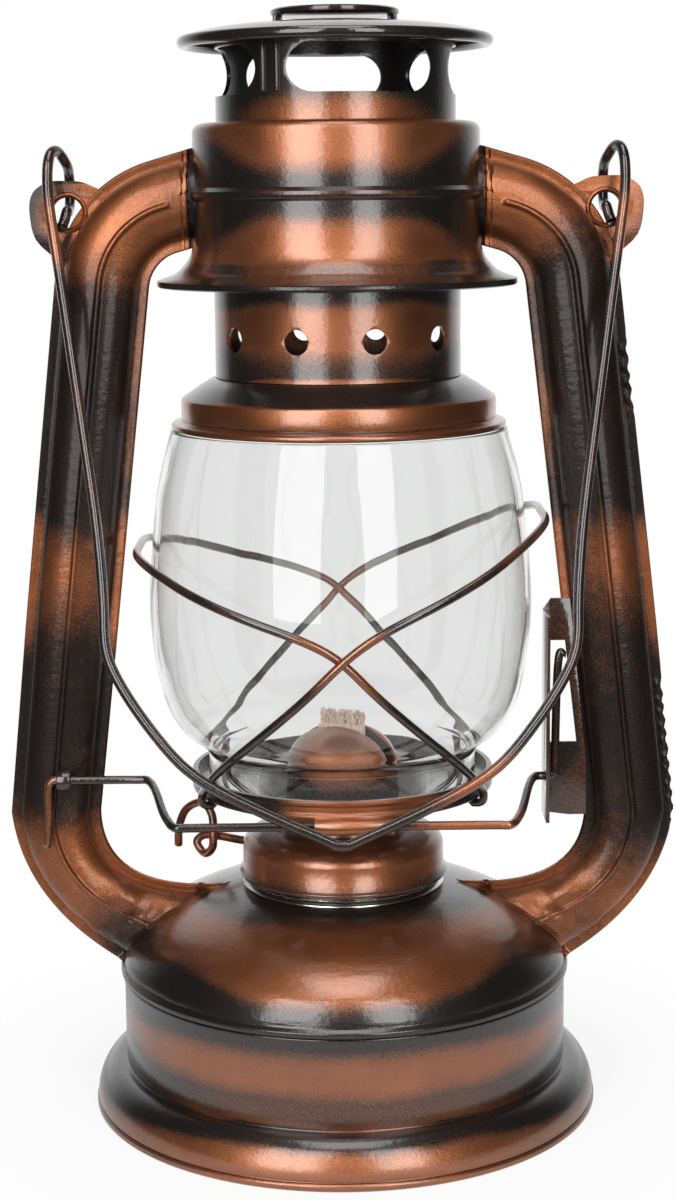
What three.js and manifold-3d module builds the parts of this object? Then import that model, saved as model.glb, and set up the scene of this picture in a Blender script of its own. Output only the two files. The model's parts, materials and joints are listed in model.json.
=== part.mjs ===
// A kerosene hurricane lantern, in millimetres, with +Z up and the burner on the Z axis.
// The front, where the bail hangs and the lift crank passes, faces -Y.
import * as THREE from 'three';
import { mergeVertices } from 'three/addons/utils/BufferGeometryUtils.js';
import Module from 'manifold-3d';

const wasm = await Module();
wasm.setup();

// Clearances and the fineness of round shapes
const seatGap = 0.3; // between pieces that touch on the real lantern
const runGap = 0.4; // round a piece that slides or turns
const overrun = 3; // how far a cutting tool passes the face that it cuts
const weldDistance = 0.0001;
const ringFacets = 26;
const skirtFacets = 24;
const burnerFacets = 20;
const boreFacets = 16;
const wireBoreFacets = 12;
const chimneyHoleFacets = 10;
const gripFacets = 6;
const wireFacets = 5;
const arcSegments = 6; // of half a circle in an extruded outline
const spurBoreSegments = 4;

// Pressed sheet
const sheet = 0.8;
const tubeSheet = 0.7;

// Fount: the drum with its flared foot, the bottom and the dome
const drumRadius = 50.5;
const drumTop = 30.9;
const footRadius = 57.5;
const footHeight = 10.4; // of the step where the foot meets the drum
const footLedge = 0.7; // how far the step stands out from the drum
const hemHeight = 2;
const hemWidth = 2.6;
const hemLip = 0.3; // how far the hem stands out under the flare
const bottomLap = 0.7; // how far the bottom lies on the hem
const bottomDish = 2.2;
const bottomDishRadius = 46;
const beadHeight = 1.6; // of the seam that joins the dome to the drum
const beadLip = 0.8;
const domeRadius = 50.4;
const domeRise = 20; // of the full ellipse that the dome follows
const mouthRadius = 22.5; // of the dome's opening for the burner

// Filler at the rear of the dome
const fillerReach = 37; // from the lantern's axis
const fillerRadius = 8;
const fillerWall = 1.1;
const fillerFoot = 41;
const fillerTop = 55;
const fillerCapRadius = 9.6;
const fillerCapFoot = 50.5;
const fillerCapCrown = 1.2;
const fillerGripCount = 12;
const fillerGripRadius = 0.8;
const gasketThickness = 0.7;
const gasketLap = 2.4; // from the gasket's rim in to its hole

// Burner: collar, cup, skirt, wick tube, wick and slotted dome
const collarRadius = 23;
const collarBore = 18.5;
const collarHeight = 1.7;
const collarDepth = 4.5; // of its thread below the dome's mouth
const cupWall = 1.3;
const cupDepth = 5.5;
const cupFlange = 21.8; // radius
const skirtRim = 23.7;
const skirtRimHeight = 1.2;
const skirtRadius = 22.9;
const skirtHeight = 6.8; // of its upright wall above the burner's seat
const skirtShoulderRise = 4.2;
const skirtShoulderRadius = 16.5;
const skirtNeck = 14.2;
const skirtTop = 19.3; // of its flange above the burner's seat
const skirtFlange = 15.5;
const burnerTurn = THREE.MathUtils.degToRad(158); // of the wick's width and the winder from +X
const wickWidth = 10.6;
const wickThickness = 2.4;
const wickRise = 91; // of its top above the floor
const wickFoot = 16;
const wickTubeWall = 0.6;
const wickTubeTop = 84.4;
const wickWindowWidth = 8.4;
const wickWindowHeight = 7.4;
const spreaderBase = 14; // radius of the slotted dome's foot ring
const spreaderBaseHeight = 2;
const spreaderNeck = 12.3;
const spreaderRadius = 13;
const spreaderRise = 9.6; // from its widest ring to its top
const spreaderTop = 87.6;
const spreaderStartShare = -1 / 6; // of a quarter turn, where the dome starts under its widest ring
const spreaderSlot = 5.4;
const spreaderSlotDepth = 8.6;

// Winder: one bent wire with two spur wheels
const winderRadius = 1;
const winderTilt = THREE.MathUtils.degToRad(4);
const winderHeight = 1.4; // of its axis above the burner's seat
const winderTail = 7; // how far it runs past the wick's middle
const winderReach = 34; // from the wick's middle to the curl
const curlWidth = 5; // of the curl, over the wire's middle
const curlDrop = 4.4; // how far the curl hangs below the axis
const curlPitch = 2.5; // sideways step where the curl passes the shaft
const handleWidth = 9;
const handleRise = 7.7;
const handleDrop = 4.2;
const spurTip = 3.2;
const spurRoot = 2.4;
const spurTeeth = 10;
const spurWidth = 1.2;
const spurSpacing = 5.2;

// Globe carrier: plate, globe and guard hoops
const plateBore = 14.4;
const plateSeat = 17; // outer radius of the ring that lies on the burner's flange
const plateStep = 2.9; // of its disc above that ring
const plateStepRun = 2.3;
const plateRadius = 33.5;
const plateBead = 0.5;
const plateBeadHeight = 1.1;
const plateWallDrop = 1.4; // below the disc
const plateWallRise = 2; // above the disc
const plateWall = 0.8;
const ventCount = 14;
const ventLength = 6.6;
const ventWidth = 1.8;
const ventReach = 24.4;
const globeWall = 1.6;
const globeRadius = 42.7;
const globeFootRadius = 30.2;
const globeTop = 154.7;
const globeShares = [ // of its radius and of its height
  [0.707, 0.075], [0.745, 0.1], [0.838, 0.138], [0.925, 0.216], [0.977, 0.342],
  [0.998, 0.45], [1, 0.53], [0.986, 0.648], [0.948, 0.829], [0.888, 0.97], [0.871, 1],
];
const guardRadius = 0.95;
const guardSide = 45; // where a hoop passes its side tube
const guardWaist = 45.6; // where the hoops cross
const guardCrossing = 110.9;
const guardLeftRise = 17.8; // from the crossing up to the hoop's side
const guardRightRise = 24.7;
const guardSwell = 2.4; // between the side and the crossing
const guardTuck = 3.4; // how far an end reaches in under the plate
const guardEndTurn = 152; // degrees from the side to where an end meets the plate
const guardTuckTurn = 153;
// A hoop on its own side: degrees from the side, and shares of its swell and its rise
const guardShares = [
  [0, 0, 1], [16, 0.75, 0.985], [32, 0.95, 0.89], [50, 0.9, 0.66], [66, 0.5, 0.44],
  [80, 0.2, 0.24], [90, 0, 0],
];
// Past the crossing: degrees, and shares of the way in to the plate's rim and down to it
const guardEndShares = [
  [99, 0.06, 0.22], [120, 0.34, 0.6], [136, 0.66, 0.82], [148, 0.96, 0.95],
];
const sleeveLength = 17;
const sleeveOffset = 2.4; // of its middle from the lantern's middle, to +X
const sleeveWall = 0.6;
const sleevePlay = 0.45; // each way, for the crank's arc

// Lift crank on the side tubes
const crankRadius = 0.95;
const crankAxisY = -9.2;
const crankSleeveRise = 0.2; // of its part in the sleeve above the plate's seat
const crankReach = 24.3; // from its axis forward to the part in the sleeve
const crankDrop = 4.5;
const crankInner = 37; // half the part that lies under the plate
const crankOuter = 43.5; // where its legs reach the axis
const crankArm = 47.5; // from the lantern's middle to the lever arm
const crankArmLean = 0.7; // of its top, to +X
const crankArmRise = 28.4;
const crankHook = 1.1;
const crankTail = 66; // from the lantern's middle to the bent-down end
const crankTailDrop = 15.5;
const crankBend = 1.2;
const eyeletReach = 62.3;
const eyeletLength = 3;
const eyeletWall = 1;

// Lever bracket on the right tube
const bracketInner = 45.3;
const bracketLap = 1.8; // over the tube's flange
const bracketFootDrop = 11; // below the crank's axis
const bracketHeadRise = 39; // above it
const bracketStripDrop = 2.5; // of the strip's top below the plate's
const bracketStripDepth = 12.2; // from the seam plane forward
const bracketWindowRise = 6; // of its window's foot above the crank's axis
const bracketWindowLedge = 9.6; // of plate above its window
const bracketWindowEdge = 0.4; // of plate beside the tube's flange

// Side tubes: two pressed halves each
const tubeHalfWidth = 10.3;
const tubeDepth = 7.1; // of each half from the seam plane
const tubeFlange = 2.2;
const tubeRibWidth = 1.2;
const tubeRibRise = 0.6;
const tubeSeam = 0.3; // between the two halves
const tubeStart = 27; // inside the hood, before the hood's outline cuts it
const tubeStartRise = 20.5; // above the hood's lip
const tubeStartSlope = THREE.MathUtils.degToRad(16);
const tubeElbowRadius = 14;
const tubeLimbLean = THREE.MathUtils.degToRad(6.64);
const tubeLimbX = 65.5; // of the limb's foot
const tubeLimbFoot = 67.6;
const tubeToeX = 26;
const tubeToeHeight = 50;
const tubeHeelX = 50.2;
const tubeHeelHeight = 31.5;
const tubeRunIn = 4; // of the foot past the dome's surface, before it is cut
const tubeKneeDrop = 4; // of the outer knee below the middle of the foot
const footThinShare = 0.12; // of its depth that the foot loses

// Ears for the bail
const earX = 58.6;
const earRise = 16.4; // of its hole above the hood's lip
const earHole = 3.25; // radius
const earRing = 1.2;
const earRingRise = 0.4;
const earTopRise = 6.8; // above its hole's middle
const earEdge = 67;

// Bail
const bailRadius = 1.15;
const bailSpan = 60.6; // from the lantern's middle to the strand below the loop
const bailWaist = 50; // where the strands turn in
const bailFoot = 69.6; // height of the bend at the middle
const bailLean = 33.6; // from the strand's start forward to that bend
const bailStandOff = 7; // of the strand's start in front of the ear
const bailEyeRadius = 5.05; // of the loop where it runs through the ear
const bailCrest = 9.2; // radius of the loop over the ear
const bailTailDrop = 3.5; // of its tail's end below the ear's hole
// A strand's shares of the way from the waist out, and of the drop from the pivot to the foot
const bailStrandShares = [
  [1, 0.08], [0.81, 0.176], [0.6, 0.285], [0.38, 0.4], [0.16, 0.52], [0.04, 0.63], [0, 0.7],
];
// The bend's shares of half the waist, and of the same drop
const bailCurveShares = [[0.95, 0.745], [0.81, 0.82], [0.63, 0.89], [0.25, 0.962], [0.06, 0.991]];

// Hood, the air chamber between the side tubes
const hoodClearance = 30.8; // from the crown's foot, which leaves the lift its room
const hoodLip = 39.5;
const hoodLipHeight = 1.5;
const hoodFlareHeight = 8.6;
const hoodLower = 31.6;
const hoodUpper = 31.2;
const hoodBeadHeight = 19.9;
const hoodBead = 0.8;
const hoodHeight = 35;
const hoodShoulder = 2;
const hoodBore = 27.4;
const portHeight = 14;
const portWidth = 10.4;

// Chimney: crown, tube, vent collar, cap and lift knob, with its spring
const crownRim = 37;
const crownRimHeight = 1.4;
const crownRadius = 34.8;
const crownWallTop = 6.4;
const crownShoulder = 1;
const crownHeight = 11.2;
const crownSpigot = 3;
const chimneyRadius = 27;
const chimneySheet = 0.7;
const chimneyLength = 50.3;
const chimneyHoleRadius = 2.7;
const chimneyHoleRise = 20; // of its holes above the crown's foot
const chimneyHoleCount = 10;
const chimneyHoleTurn = THREE.MathUtils.degToRad(-19.2);
const ventRadius = 26;
const ventRise = 52; // of its foot above the crown's
const ventHeight = 32.7;
const ventSlotCount = 4;
const ventSlotRise = 19.4; // of its slots above its foot
const ventSlotHeight = 10.2;
const ventSlotLength = 31;
const ventSlotTurn = THREE.MathUtils.degToRad(13.5);
const ventRidge = 0.5;
const ventRidgeWidth = 1.1;
const ventRidgeSpacing = 3.4;
const capRadius = 34.1;
const capDrop = 3.1; // of its lip below the vent collar's top
const capLip = 1.2;
const capRimHeight = 2.6;
const capRise = 3; // of its middle above its rim
const knobRadius = 13.9;
const knobThickness = 1.6;
const knobRise = 5.3; // of its top above the vent collar's
const knobLegReach = 12.3;
const knobLegWidth = 2;
const knobLegDepth = 5.4;
const washerRise = 33; // above the crown's foot
const washerThickness = 1;
const washerRadius = 30;
const springWire = 0.6; // radius
const springRadius = 28.9;
const springTurns = 5;
const springTurnSteps = 12;

// Heights and radii that follow from those sizes
const hemInner = footRadius - hemWidth;
const flareCentre = drumRadius + footLedge;
const domeFoot = drumTop + seatGap + beadHeight;
const burnerSeat = domeHeight(mouthRadius) + seatGap + collarHeight;
const skirtFlangeTop = burnerSeat + skirtTop;
const carrierSeat = skirtFlangeTop + seatGap;
const plateTop = carrierSeat + plateStep + sheet;
const globeFoot = plateTop + seatGap;
const crankSleeveHeight = carrierSeat + crankSleeveRise;
const crankAxisHeight = crankSleeveHeight + crankDrop;
const crankSleeveY = crankAxisY - crankReach;
const winderOffset = wickThickness / 2 + seatGap + spurTip;
const bracketFoot = crankAxisHeight - bracketFootDrop;
const bracketHead = crankAxisHeight + bracketHeadRise;
const bracketWindowFoot = crankAxisHeight + bracketWindowRise;
const bracketWindowHead = bracketHead - bracketWindowLedge;
const chimneyFoot = globeTop + seatGap;
const washerTop = chimneyFoot + washerRise + washerThickness;
const ventTop = ventRise + ventHeight; // above the crown's foot, as are the two below
const capFoot = ventTop - capDrop;
const knobTop = ventTop + knobRise;
const hoodFoot = chimneyFoot + hoodClearance;
const tubeStartHeight = hoodFoot + tubeStartRise;
const earHeight = hoodFoot + earRise;
const earTop = earHeight + earTopRise;
const bailPivotHeight = earHeight + bailEyeRadius;

// The dome's outer surface at a radius, with a sheet's thickness off it if asked
function domeHeight(radius, inset = 0) {
  const share = radius / (domeRadius - inset);
  return drumTop + seatGap + beadHeight + (domeRise - inset) * Math.sqrt(1 - share * share);
}

// Geometry helpers
function welded(geometry) {
  const copy = geometry.clone();
  copy.deleteAttribute('normal');
  copy.deleteAttribute('uv');
  const merged = mergeVertices(copy, weldDistance);
  const faces = merged.index.array;
  const kept = [];
  for (let i = 0; i < faces.length; i += 3) {
    const [a, b, c] = [faces[i], faces[i + 1], faces[i + 2]];
    if (a !== b && b !== c && a !== c) kept.push(a, b, c);
  }
  merged.setIndex(kept);
  return merged;
}

function solidOf(geometry) {
  const clean = welded(geometry);
  return new wasm.Manifold(new wasm.Mesh({
    numProp: 3,
    vertProperties: new Float32Array(clean.attributes.position.array),
    triVerts: new Uint32Array(clean.index.array),
  }));
}

function geometryOf(solid) {
  const mesh = solid.getMesh();
  const geometry = new THREE.BufferGeometry();
  geometry.setAttribute('position', new THREE.BufferAttribute(mesh.vertProperties, 3));
  geometry.setIndex(new THREE.BufferAttribute(mesh.triVerts, 1));
  return geometry;
}

function cut(geometry, ...tools) {
  return geometryOf(tools.reduce((solid, tool) => solid.subtract(solidOf(tool)), solidOf(geometry)));
}

function joined(geometry, ...others) {
  return geometryOf(others.reduce((solid, other) => solid.add(solidOf(other)), solidOf(geometry)));
}

function flipFaces(geometry) {
  const faces = geometry.index.array;
  for (let i = 0; i < faces.length; i += 3) {
    const second = faces[i + 1];
    faces[i + 1] = faces[i + 2];
    faces[i + 2] = second;
  }
  return geometry;
}

function mirrored(geometry, x, y) {
  const copy = welded(geometry);
  copy.scale(x, y, 1);
  return x * y < 0 ? flipFaces(copy) : copy;
}

// A profile of radius and height pairs turned round the Z axis
function turned(profile, facets = ringFacets) {
  const points = profile.map(([radius, height]) => new THREE.Vector2(radius, height));
  if (THREE.ShapeUtils.area(points) < 0) points.reverse();
  const onAxis = points.filter((point) => point.x === 0).length === 2;
  if (onAxis) {
    while (!(points[0].x === 0 && points[points.length - 1].x === 0)) points.push(points.shift());
  } else {
    points.push(points[0].clone());
  }
  return new THREE.LatheGeometry(points, facets).rotateX(Math.PI / 2);
}

function disc(radius, foot, head, facets = boreFacets) {
  return turned([[0, foot], [radius, foot], [radius, head], [0, head]], facets);
}

function tubeRing(bore, radius, foot, head, facets = ringFacets) {
  return turned([[bore, foot], [radius, foot], [radius, head], [bore, head]], facets);
}

function block(width, depth, height) {
  return new THREE.BoxGeometry(width, depth, height);
}

// Points on a quarter of an ellipse, from its side at angle 0 to its top at angle 1
function arcPoints(centreRadius, centreHeight, run, rise, from, to, steps) {
  const points = [];
  for (let i = 0; i <= steps; i++) {
    const angle = (from + ((to - from) * i) / steps) * (Math.PI / 2);
    points.push([centreRadius + run * Math.cos(angle), centreHeight + rise * Math.sin(angle)]);
  }
  return points;
}

function outlineShape(points) {
  return new THREE.Shape(points.map(([x, y]) => new THREE.Vector2(x, y)));
}

function roundHole(shape, x, y, radius) {
  const hole = new THREE.Path();
  hole.absarc(x, y, radius, 0, Math.PI * 2, true);
  shape.holes.push(hole);
}

function extruded(shape, depth, curveSegments = arcSegments) {
  return new THREE.ExtrudeGeometry(shape, { depth, bevelEnabled: false, curveSegments });
}

// A plate drawn in X and Z, lying between two Y values
function uprightPlate(shape, near, far) {
  return extruded(shape, far - near).rotateX(Math.PI / 2).translate(0, far, 0);
}

// A route whose rings gather where its points do, so that bends stay round
class WireRoute extends THREE.CatmullRomCurve3 {
  getPointAt(share, target) {
    return this.getPoint(share, target);
  }

  getTangentAt(share, target) {
    return this.getTangent(share, target);
  }

  getSpacedPoints(divisions) {
    return this.getPoints(divisions);
  }
}

function wire(points, radius, stepsPerSpan = 3, facets = wireFacets) {
  const route = new WireRoute(points.map((point) => new THREE.Vector3(...point)));
  const section = new THREE.Shape();
  for (let i = 0; i < facets; i++) {
    const angle = (i / facets) * Math.PI * 2;
    const [x, y] = [radius * Math.cos(angle), radius * Math.sin(angle)];
    if (i === 0) section.moveTo(x, y);
    else section.lineTo(x, y);
  }
  section.closePath();
  return new THREE.ExtrudeGeometry(section, {
    steps: (points.length - 1) * stepsPerSpan,
    extrudePath: route,
    bevelEnabled: false,
  });
}

// A skin over rings of equal count, closed by their first and last outlines
function lofted(rings, outline) {
  const count = outline.length;
  const positions = rings.flat().flatMap((point) => point.toArray());
  const faces = [];
  for (let ring = 0; ring < rings.length - 1; ring++) {
    for (let i = 0; i < count; i++) {
      const next = (i + 1) % count;
      const [a, b] = [ring * count + i, ring * count + next];
      const [c, d] = [a + count, b + count];
      faces.push(a, b, d, a, d, c);
    }
  }
  const last = (rings.length - 1) * count;
  const around = Math.sign(THREE.ShapeUtils.area(outline));
  for (const corners of THREE.ShapeUtils.triangulateShape(outline, [])) {
    const facing = THREE.ShapeUtils.area(corners.map((corner) => outline[corner]));
    const [a, b, c] = Math.sign(facing) === around ? corners : corners.slice().reverse();
    faces.push(a, c, b, last + a, last + b, last + c);
  }
  const geometry = new THREE.BufferGeometry();
  geometry.setAttribute('position', new THREE.Float32BufferAttribute(positions, 3));
  geometry.setIndex(faces);
  return volumeOf(geometry) < 0 ? flipFaces(geometry) : geometry;
}

function volumeOf(geometry) {
  const corners = geometry.attributes.position;
  const faces = geometry.index.array;
  const [a, b, c] = [new THREE.Vector3(), new THREE.Vector3(), new THREE.Vector3()];
  let volume = 0;
  for (let i = 0; i < faces.length; i += 3) {
    a.fromBufferAttribute(corners, faces[i]);
    b.fromBufferAttribute(corners, faces[i + 1]);
    c.fromBufferAttribute(corners, faces[i + 2]);
    volume += a.dot(b.cross(c));
  }
  return volume;
}

// Finishes: colour, roughness and metalness
const finishes = {
  copper: [0xa8603c, 0.35, 0.9],
  black: [0x15120f, 0.3, 0.6],
  wire: [0x221a16, 0.3, 0.7],
  steel: [0xb9b6b0, 0.3, 1],
  gunmetal: [0x34302d, 0.35, 0.8],
  brass: [0xb08a4a, 0.35, 1],
  glass: [0xeef2f2, 0.05, 0],
  wick: [0xcfbfa8, 0.9, 0],
  rubber: [0x1d1c1b, 0.8, 0],
};

function part(name, finish, geometry) {
  const [color, roughness, metalness] = finishes[finish];
  const material = new THREE.MeshStandardMaterial({ color, roughness, metalness });
  if (finish === 'glass') {
    material.transparent = true;
    material.opacity = 0.3;
  }
  const mesh = new THREE.Mesh(geometry, material);
  mesh.name = name;
  return mesh;
}

function groupAt(height, ...parts) {
  const group = new THREE.Group();
  group.position.z = height;
  group.add(...parts);
  return group;
}

// Fount
function tankDrum() {
  const flareRun = footRadius - hemLip - flareCentre;
  const flareRise = footHeight - hemHeight;
  return turned([
    [hemInner, 0],
    [footRadius, 0],
    [footRadius, hemHeight],
    ...arcPoints(flareCentre, hemHeight, flareRun, flareRise, 0, 1, 4),
    [drumRadius, footHeight],
    [drumRadius, drumTop],
    [drumRadius - sheet, drumTop],
    [drumRadius - sheet, footHeight - sheet],
    ...arcPoints(flareCentre, hemHeight, flareRun - sheet, flareRise - sheet, 1, 0, 4),
    [hemInner, hemHeight],
  ]);
}

function tankBottom() {
  const foot = hemHeight + seatGap;
  const rim = hemInner + bottomLap;
  const inner = bottomDishRadius - bottomDish;
  return turned([
    [0, foot + bottomDish],
    [inner, foot + bottomDish],
    [bottomDishRadius, foot],
    [rim, foot],
    [rim, foot + sheet],
    [bottomDishRadius, foot + sheet],
    [inner, foot + bottomDish + sheet],
    [0, foot + bottomDish + sheet],
  ], burnerFacets);
}

function domeSurface(inset, edgeRadius, steps) {
  const edgeShare = Math.acos(edgeRadius / domeRadius) / (Math.PI / 2);
  return arcPoints(0, domeFoot, domeRadius - inset, domeRise - inset, 0, edgeShare, steps);
}

function tankDome() {
  const beadFoot = drumTop + seatGap;
  const shell = turned([
    [domeRadius - sheet, beadFoot],
    [drumRadius + beadLip, beadFoot],
    [drumRadius + beadLip, domeFoot],
    ...domeSurface(0, mouthRadius, 6),
    ...domeSurface(sheet, mouthRadius, 3).reverse(),
  ]);
  const fillerHole = disc(fillerRadius + seatGap, 0, fillerTop).translate(0, fillerReach, 0);
  return cut(shell, fillerHole);
}

// The solid that the fount's outside fills, grown by a gap, for cutting the tubes' feet
function fountBody(gap) {
  const dome = domeSurface(-gap, mouthRadius, 6);
  const top = dome[dome.length - 1][1];
  return turned([
    [0, hemHeight],
    [drumRadius + gap, hemHeight],
    [drumRadius + gap, drumTop],
    [drumRadius + beadLip + gap, drumTop],
    [drumRadius + beadLip + gap, domeFoot + gap],
    ...dome,
    [0, top],
  ]);
}

function burnerCollar() {
  const mouth = domeSurface(sheet, mouthRadius, 1)[1][0];
  const neck = mouth - runGap;
  return turned([
    [collarBore, -collarHeight - collarDepth],
    [neck, -collarHeight - collarDepth],
    [neck, -collarHeight],
    [collarRadius, -collarHeight],
    [collarRadius, 0],
    [collarBore, 0],
  ], burnerFacets);
}

function fillerNeck() {
  const bore = fillerRadius - fillerWall;
  return tubeRing(bore, fillerRadius, fillerFoot, fillerTop, boreFacets);
}

function fillerGasket() {
  const foot = fillerTop + seatGap;
  return tubeRing(fillerRadius - gasketLap, fillerRadius, foot, foot + gasketThickness, boreFacets);
}

function fillerCap() {
  const ceiling = fillerTop + seatGap + gasketThickness + seatGap;
  const bore = fillerRadius + runGap;
  const shell = turned([
    [bore, fillerCapFoot],
    [fillerCapRadius, fillerCapFoot],
    [fillerCapRadius, ceiling + fillerCapCrown],
    [0, ceiling + fillerCapCrown],
    [0, ceiling],
    [bore, ceiling],
  ], boreFacets);
  const grips = [];
  for (let i = 0; i < fillerGripCount; i++) {
    const angle = (i / fillerGripCount) * Math.PI * 2;
    const grip = disc(fillerGripRadius, fillerCapFoot - overrun, ceiling + overrun, gripFacets);
    const reach = fillerCapRadius + fillerGripRadius / 4;
    grips.push(grip.translate(reach * Math.cos(angle), reach * Math.sin(angle), 0));
  }
  return cut(shell, ...grips);
}

// Burner, in heights above the burner's seat
function burnerCup() {
  const plug = collarBore - seatGap;
  const inner = plug - cupWall;
  const shell = turned([
    [0, -cupDepth],
    [plug, -cupDepth],
    [plug, seatGap],
    [cupFlange, seatGap],
    [cupFlange, seatGap + sheet],
    [inner, seatGap + sheet],
    [inner, -cupDepth + cupWall],
    [0, -cupDepth + cupWall],
  ], burnerFacets);
  const tubeHole = block(
    wickWidth + (seatGap + wickTubeWall + seatGap) * 2,
    wickThickness + (seatGap + wickTubeWall + seatGap) * 2,
    cupDepth,
  );
  return cut(shell, tubeHole.rotateZ(burnerTurn).translate(0, 0, -cupDepth));
}

function burnerSkirt() {
  const shoulderRun = skirtRadius - skirtShoulderRadius;
  const neckFoot = skirtHeight + skirtShoulderRise;
  const shell = turned([
    [skirtRadius - sheet, seatGap],
    [skirtRim, seatGap],
    [skirtRim, seatGap + skirtRimHeight],
    [skirtRadius, seatGap + skirtRimHeight + sheet],
    ...arcPoints(skirtShoulderRadius, skirtHeight, shoulderRun, skirtShoulderRise, 0, 1, 4),
    [skirtNeck, neckFoot + sheet],
    [skirtNeck, skirtTop - sheet],
    [skirtFlange, skirtTop - sheet],
    [skirtFlange, skirtTop],
    [skirtNeck - sheet, skirtTop],
    [skirtNeck - sheet, neckFoot],
    ...arcPoints(skirtShoulderRadius, skirtHeight, shoulderRun - sheet, skirtShoulderRise - sheet, 1, 0, 2),
  ], skirtFacets);
  const bore = disc(winderRadius + runGap, 0, winderReach, wireBoreFacets).rotateY(Math.PI / 2);
  return cut(shell, placeWinder(bore));
}

// Turns a geometry drawn along the winder's axis to where the winder lies
function placeWinder(geometry) {
  const place = new THREE.Object3D();
  setWinderPlace(place);
  place.updateMatrix();
  return geometry.applyMatrix4(place.matrix);
}

function setWinderPlace(object) {
  object.rotation.set(0, -winderTilt, burnerTurn, 'ZYX');
  const side = burnerTurn - Math.PI / 2;
  object.position.set(winderOffset * Math.cos(side), winderOffset * Math.sin(side), winderHeight);
}

function wickTube() {
  const foot = -cupDepth - seatGap;
  const head = wickTubeTop - burnerSeat;
  const boreWidth = wickWidth + seatGap * 2;
  const boreThickness = wickThickness + seatGap * 2;
  const body = block(boreWidth + wickTubeWall * 2, boreThickness + wickTubeWall * 2, head - foot);
  const bore = block(boreWidth, boreThickness, head - foot + overrun);
  const window = block(wickWindowWidth, boreThickness, wickWindowHeight);
  const middle = (head + foot) / 2;
  const tube = cut(
    body.translate(0, 0, middle),
    bore.translate(0, 0, middle),
    window.translate(0, -boreThickness / 2 - wickTubeWall, winderHeight),
  );
  return tube.rotateZ(burnerTurn);
}

function wick() {
  const height = wickRise - wickFoot;
  const strip = block(wickWidth, wickThickness, height);
  return strip.rotateZ(burnerTurn).translate(0, 0, wickFoot + height / 2 - burnerSeat);
}

function spreader() {
  const foot = skirtTop + seatGap;
  const waist = spreaderTop - spreaderRise - burnerSeat;
  const shell = turned([
    [spreaderNeck - sheet, foot],
    [spreaderBase, foot],
    [spreaderBase, foot + spreaderBaseHeight],
    [spreaderNeck, foot + spreaderBaseHeight + sheet],
    ...arcPoints(0, waist, spreaderRadius, spreaderRise, spreaderStartShare, 1, 6),
    ...arcPoints(0, waist, spreaderRadius - sheet, spreaderRise - sheet, 1, spreaderStartShare, 4),
    [spreaderNeck - sheet, foot + spreaderBaseHeight],
  ].map(([radius, height]) => [radius < sheet / 2 ? 0 : radius, height]), burnerFacets);
  const slot = block(spreaderRadius * 3, spreaderSlot, spreaderSlotDepth * 2);
  return cut(shell, slot.rotateZ(burnerTurn).translate(0, 0, spreaderTop - burnerSeat));
}

// Winder, along its own X axis
function winderWire() {
  const curlFront = winderReach + curlWidth;
  const curlBack = winderReach;
  const handleBack = winderReach + 0.2 * curlWidth;
  const handleFront = handleBack + handleWidth;
  return wire([
    [-winderTail, 0, 0],
    [0, 0, 0],
    [winderReach - curlWidth, 0, 0],
    [winderReach, 0, 0],
    [curlFront - curlWidth / 4, 0, -curlDrop / 8],
    [curlFront, curlPitch / 6, -curlDrop / 2],
    [curlFront - curlWidth / 2, curlPitch / 2, -curlDrop],
    [curlBack, curlPitch, -curlDrop / 2],
    [curlBack, curlPitch, curlDrop / 4],
    [handleBack, curlPitch * 0.6, handleRise * 0.7],
    [handleBack + handleWidth * 0.3, curlPitch * 0.3, handleRise],
    [handleFront - handleWidth * 0.2, 0, handleRise * 0.7],
    [handleFront, 0, handleRise * 0.1],
    [handleFront, 0, -handleDrop],
  ], winderRadius, 3);
}

function spurWheel(place) {
  const shape = new THREE.Shape();
  for (let i = 0; i < spurTeeth; i++) {
    for (const [share, radius] of [[0, spurRoot], [0.35, spurTip], [0.6, spurTip]]) {
      const angle = ((i + share) / spurTeeth) * Math.PI * 2;
      const [x, y] = [radius * Math.cos(angle), radius * Math.sin(angle)];
      if (i === 0 && share === 0) shape.moveTo(x, y);
      else shape.lineTo(x, y);
    }
  }
  shape.closePath();
  roundHole(shape, 0, 0, winderRadius + seatGap);
  const wheel = extruded(shape, spurWidth, spurBoreSegments);
  return wheel.rotateY(Math.PI / 2).translate(place - spurWidth / 2, 0, 0);
}

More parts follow.
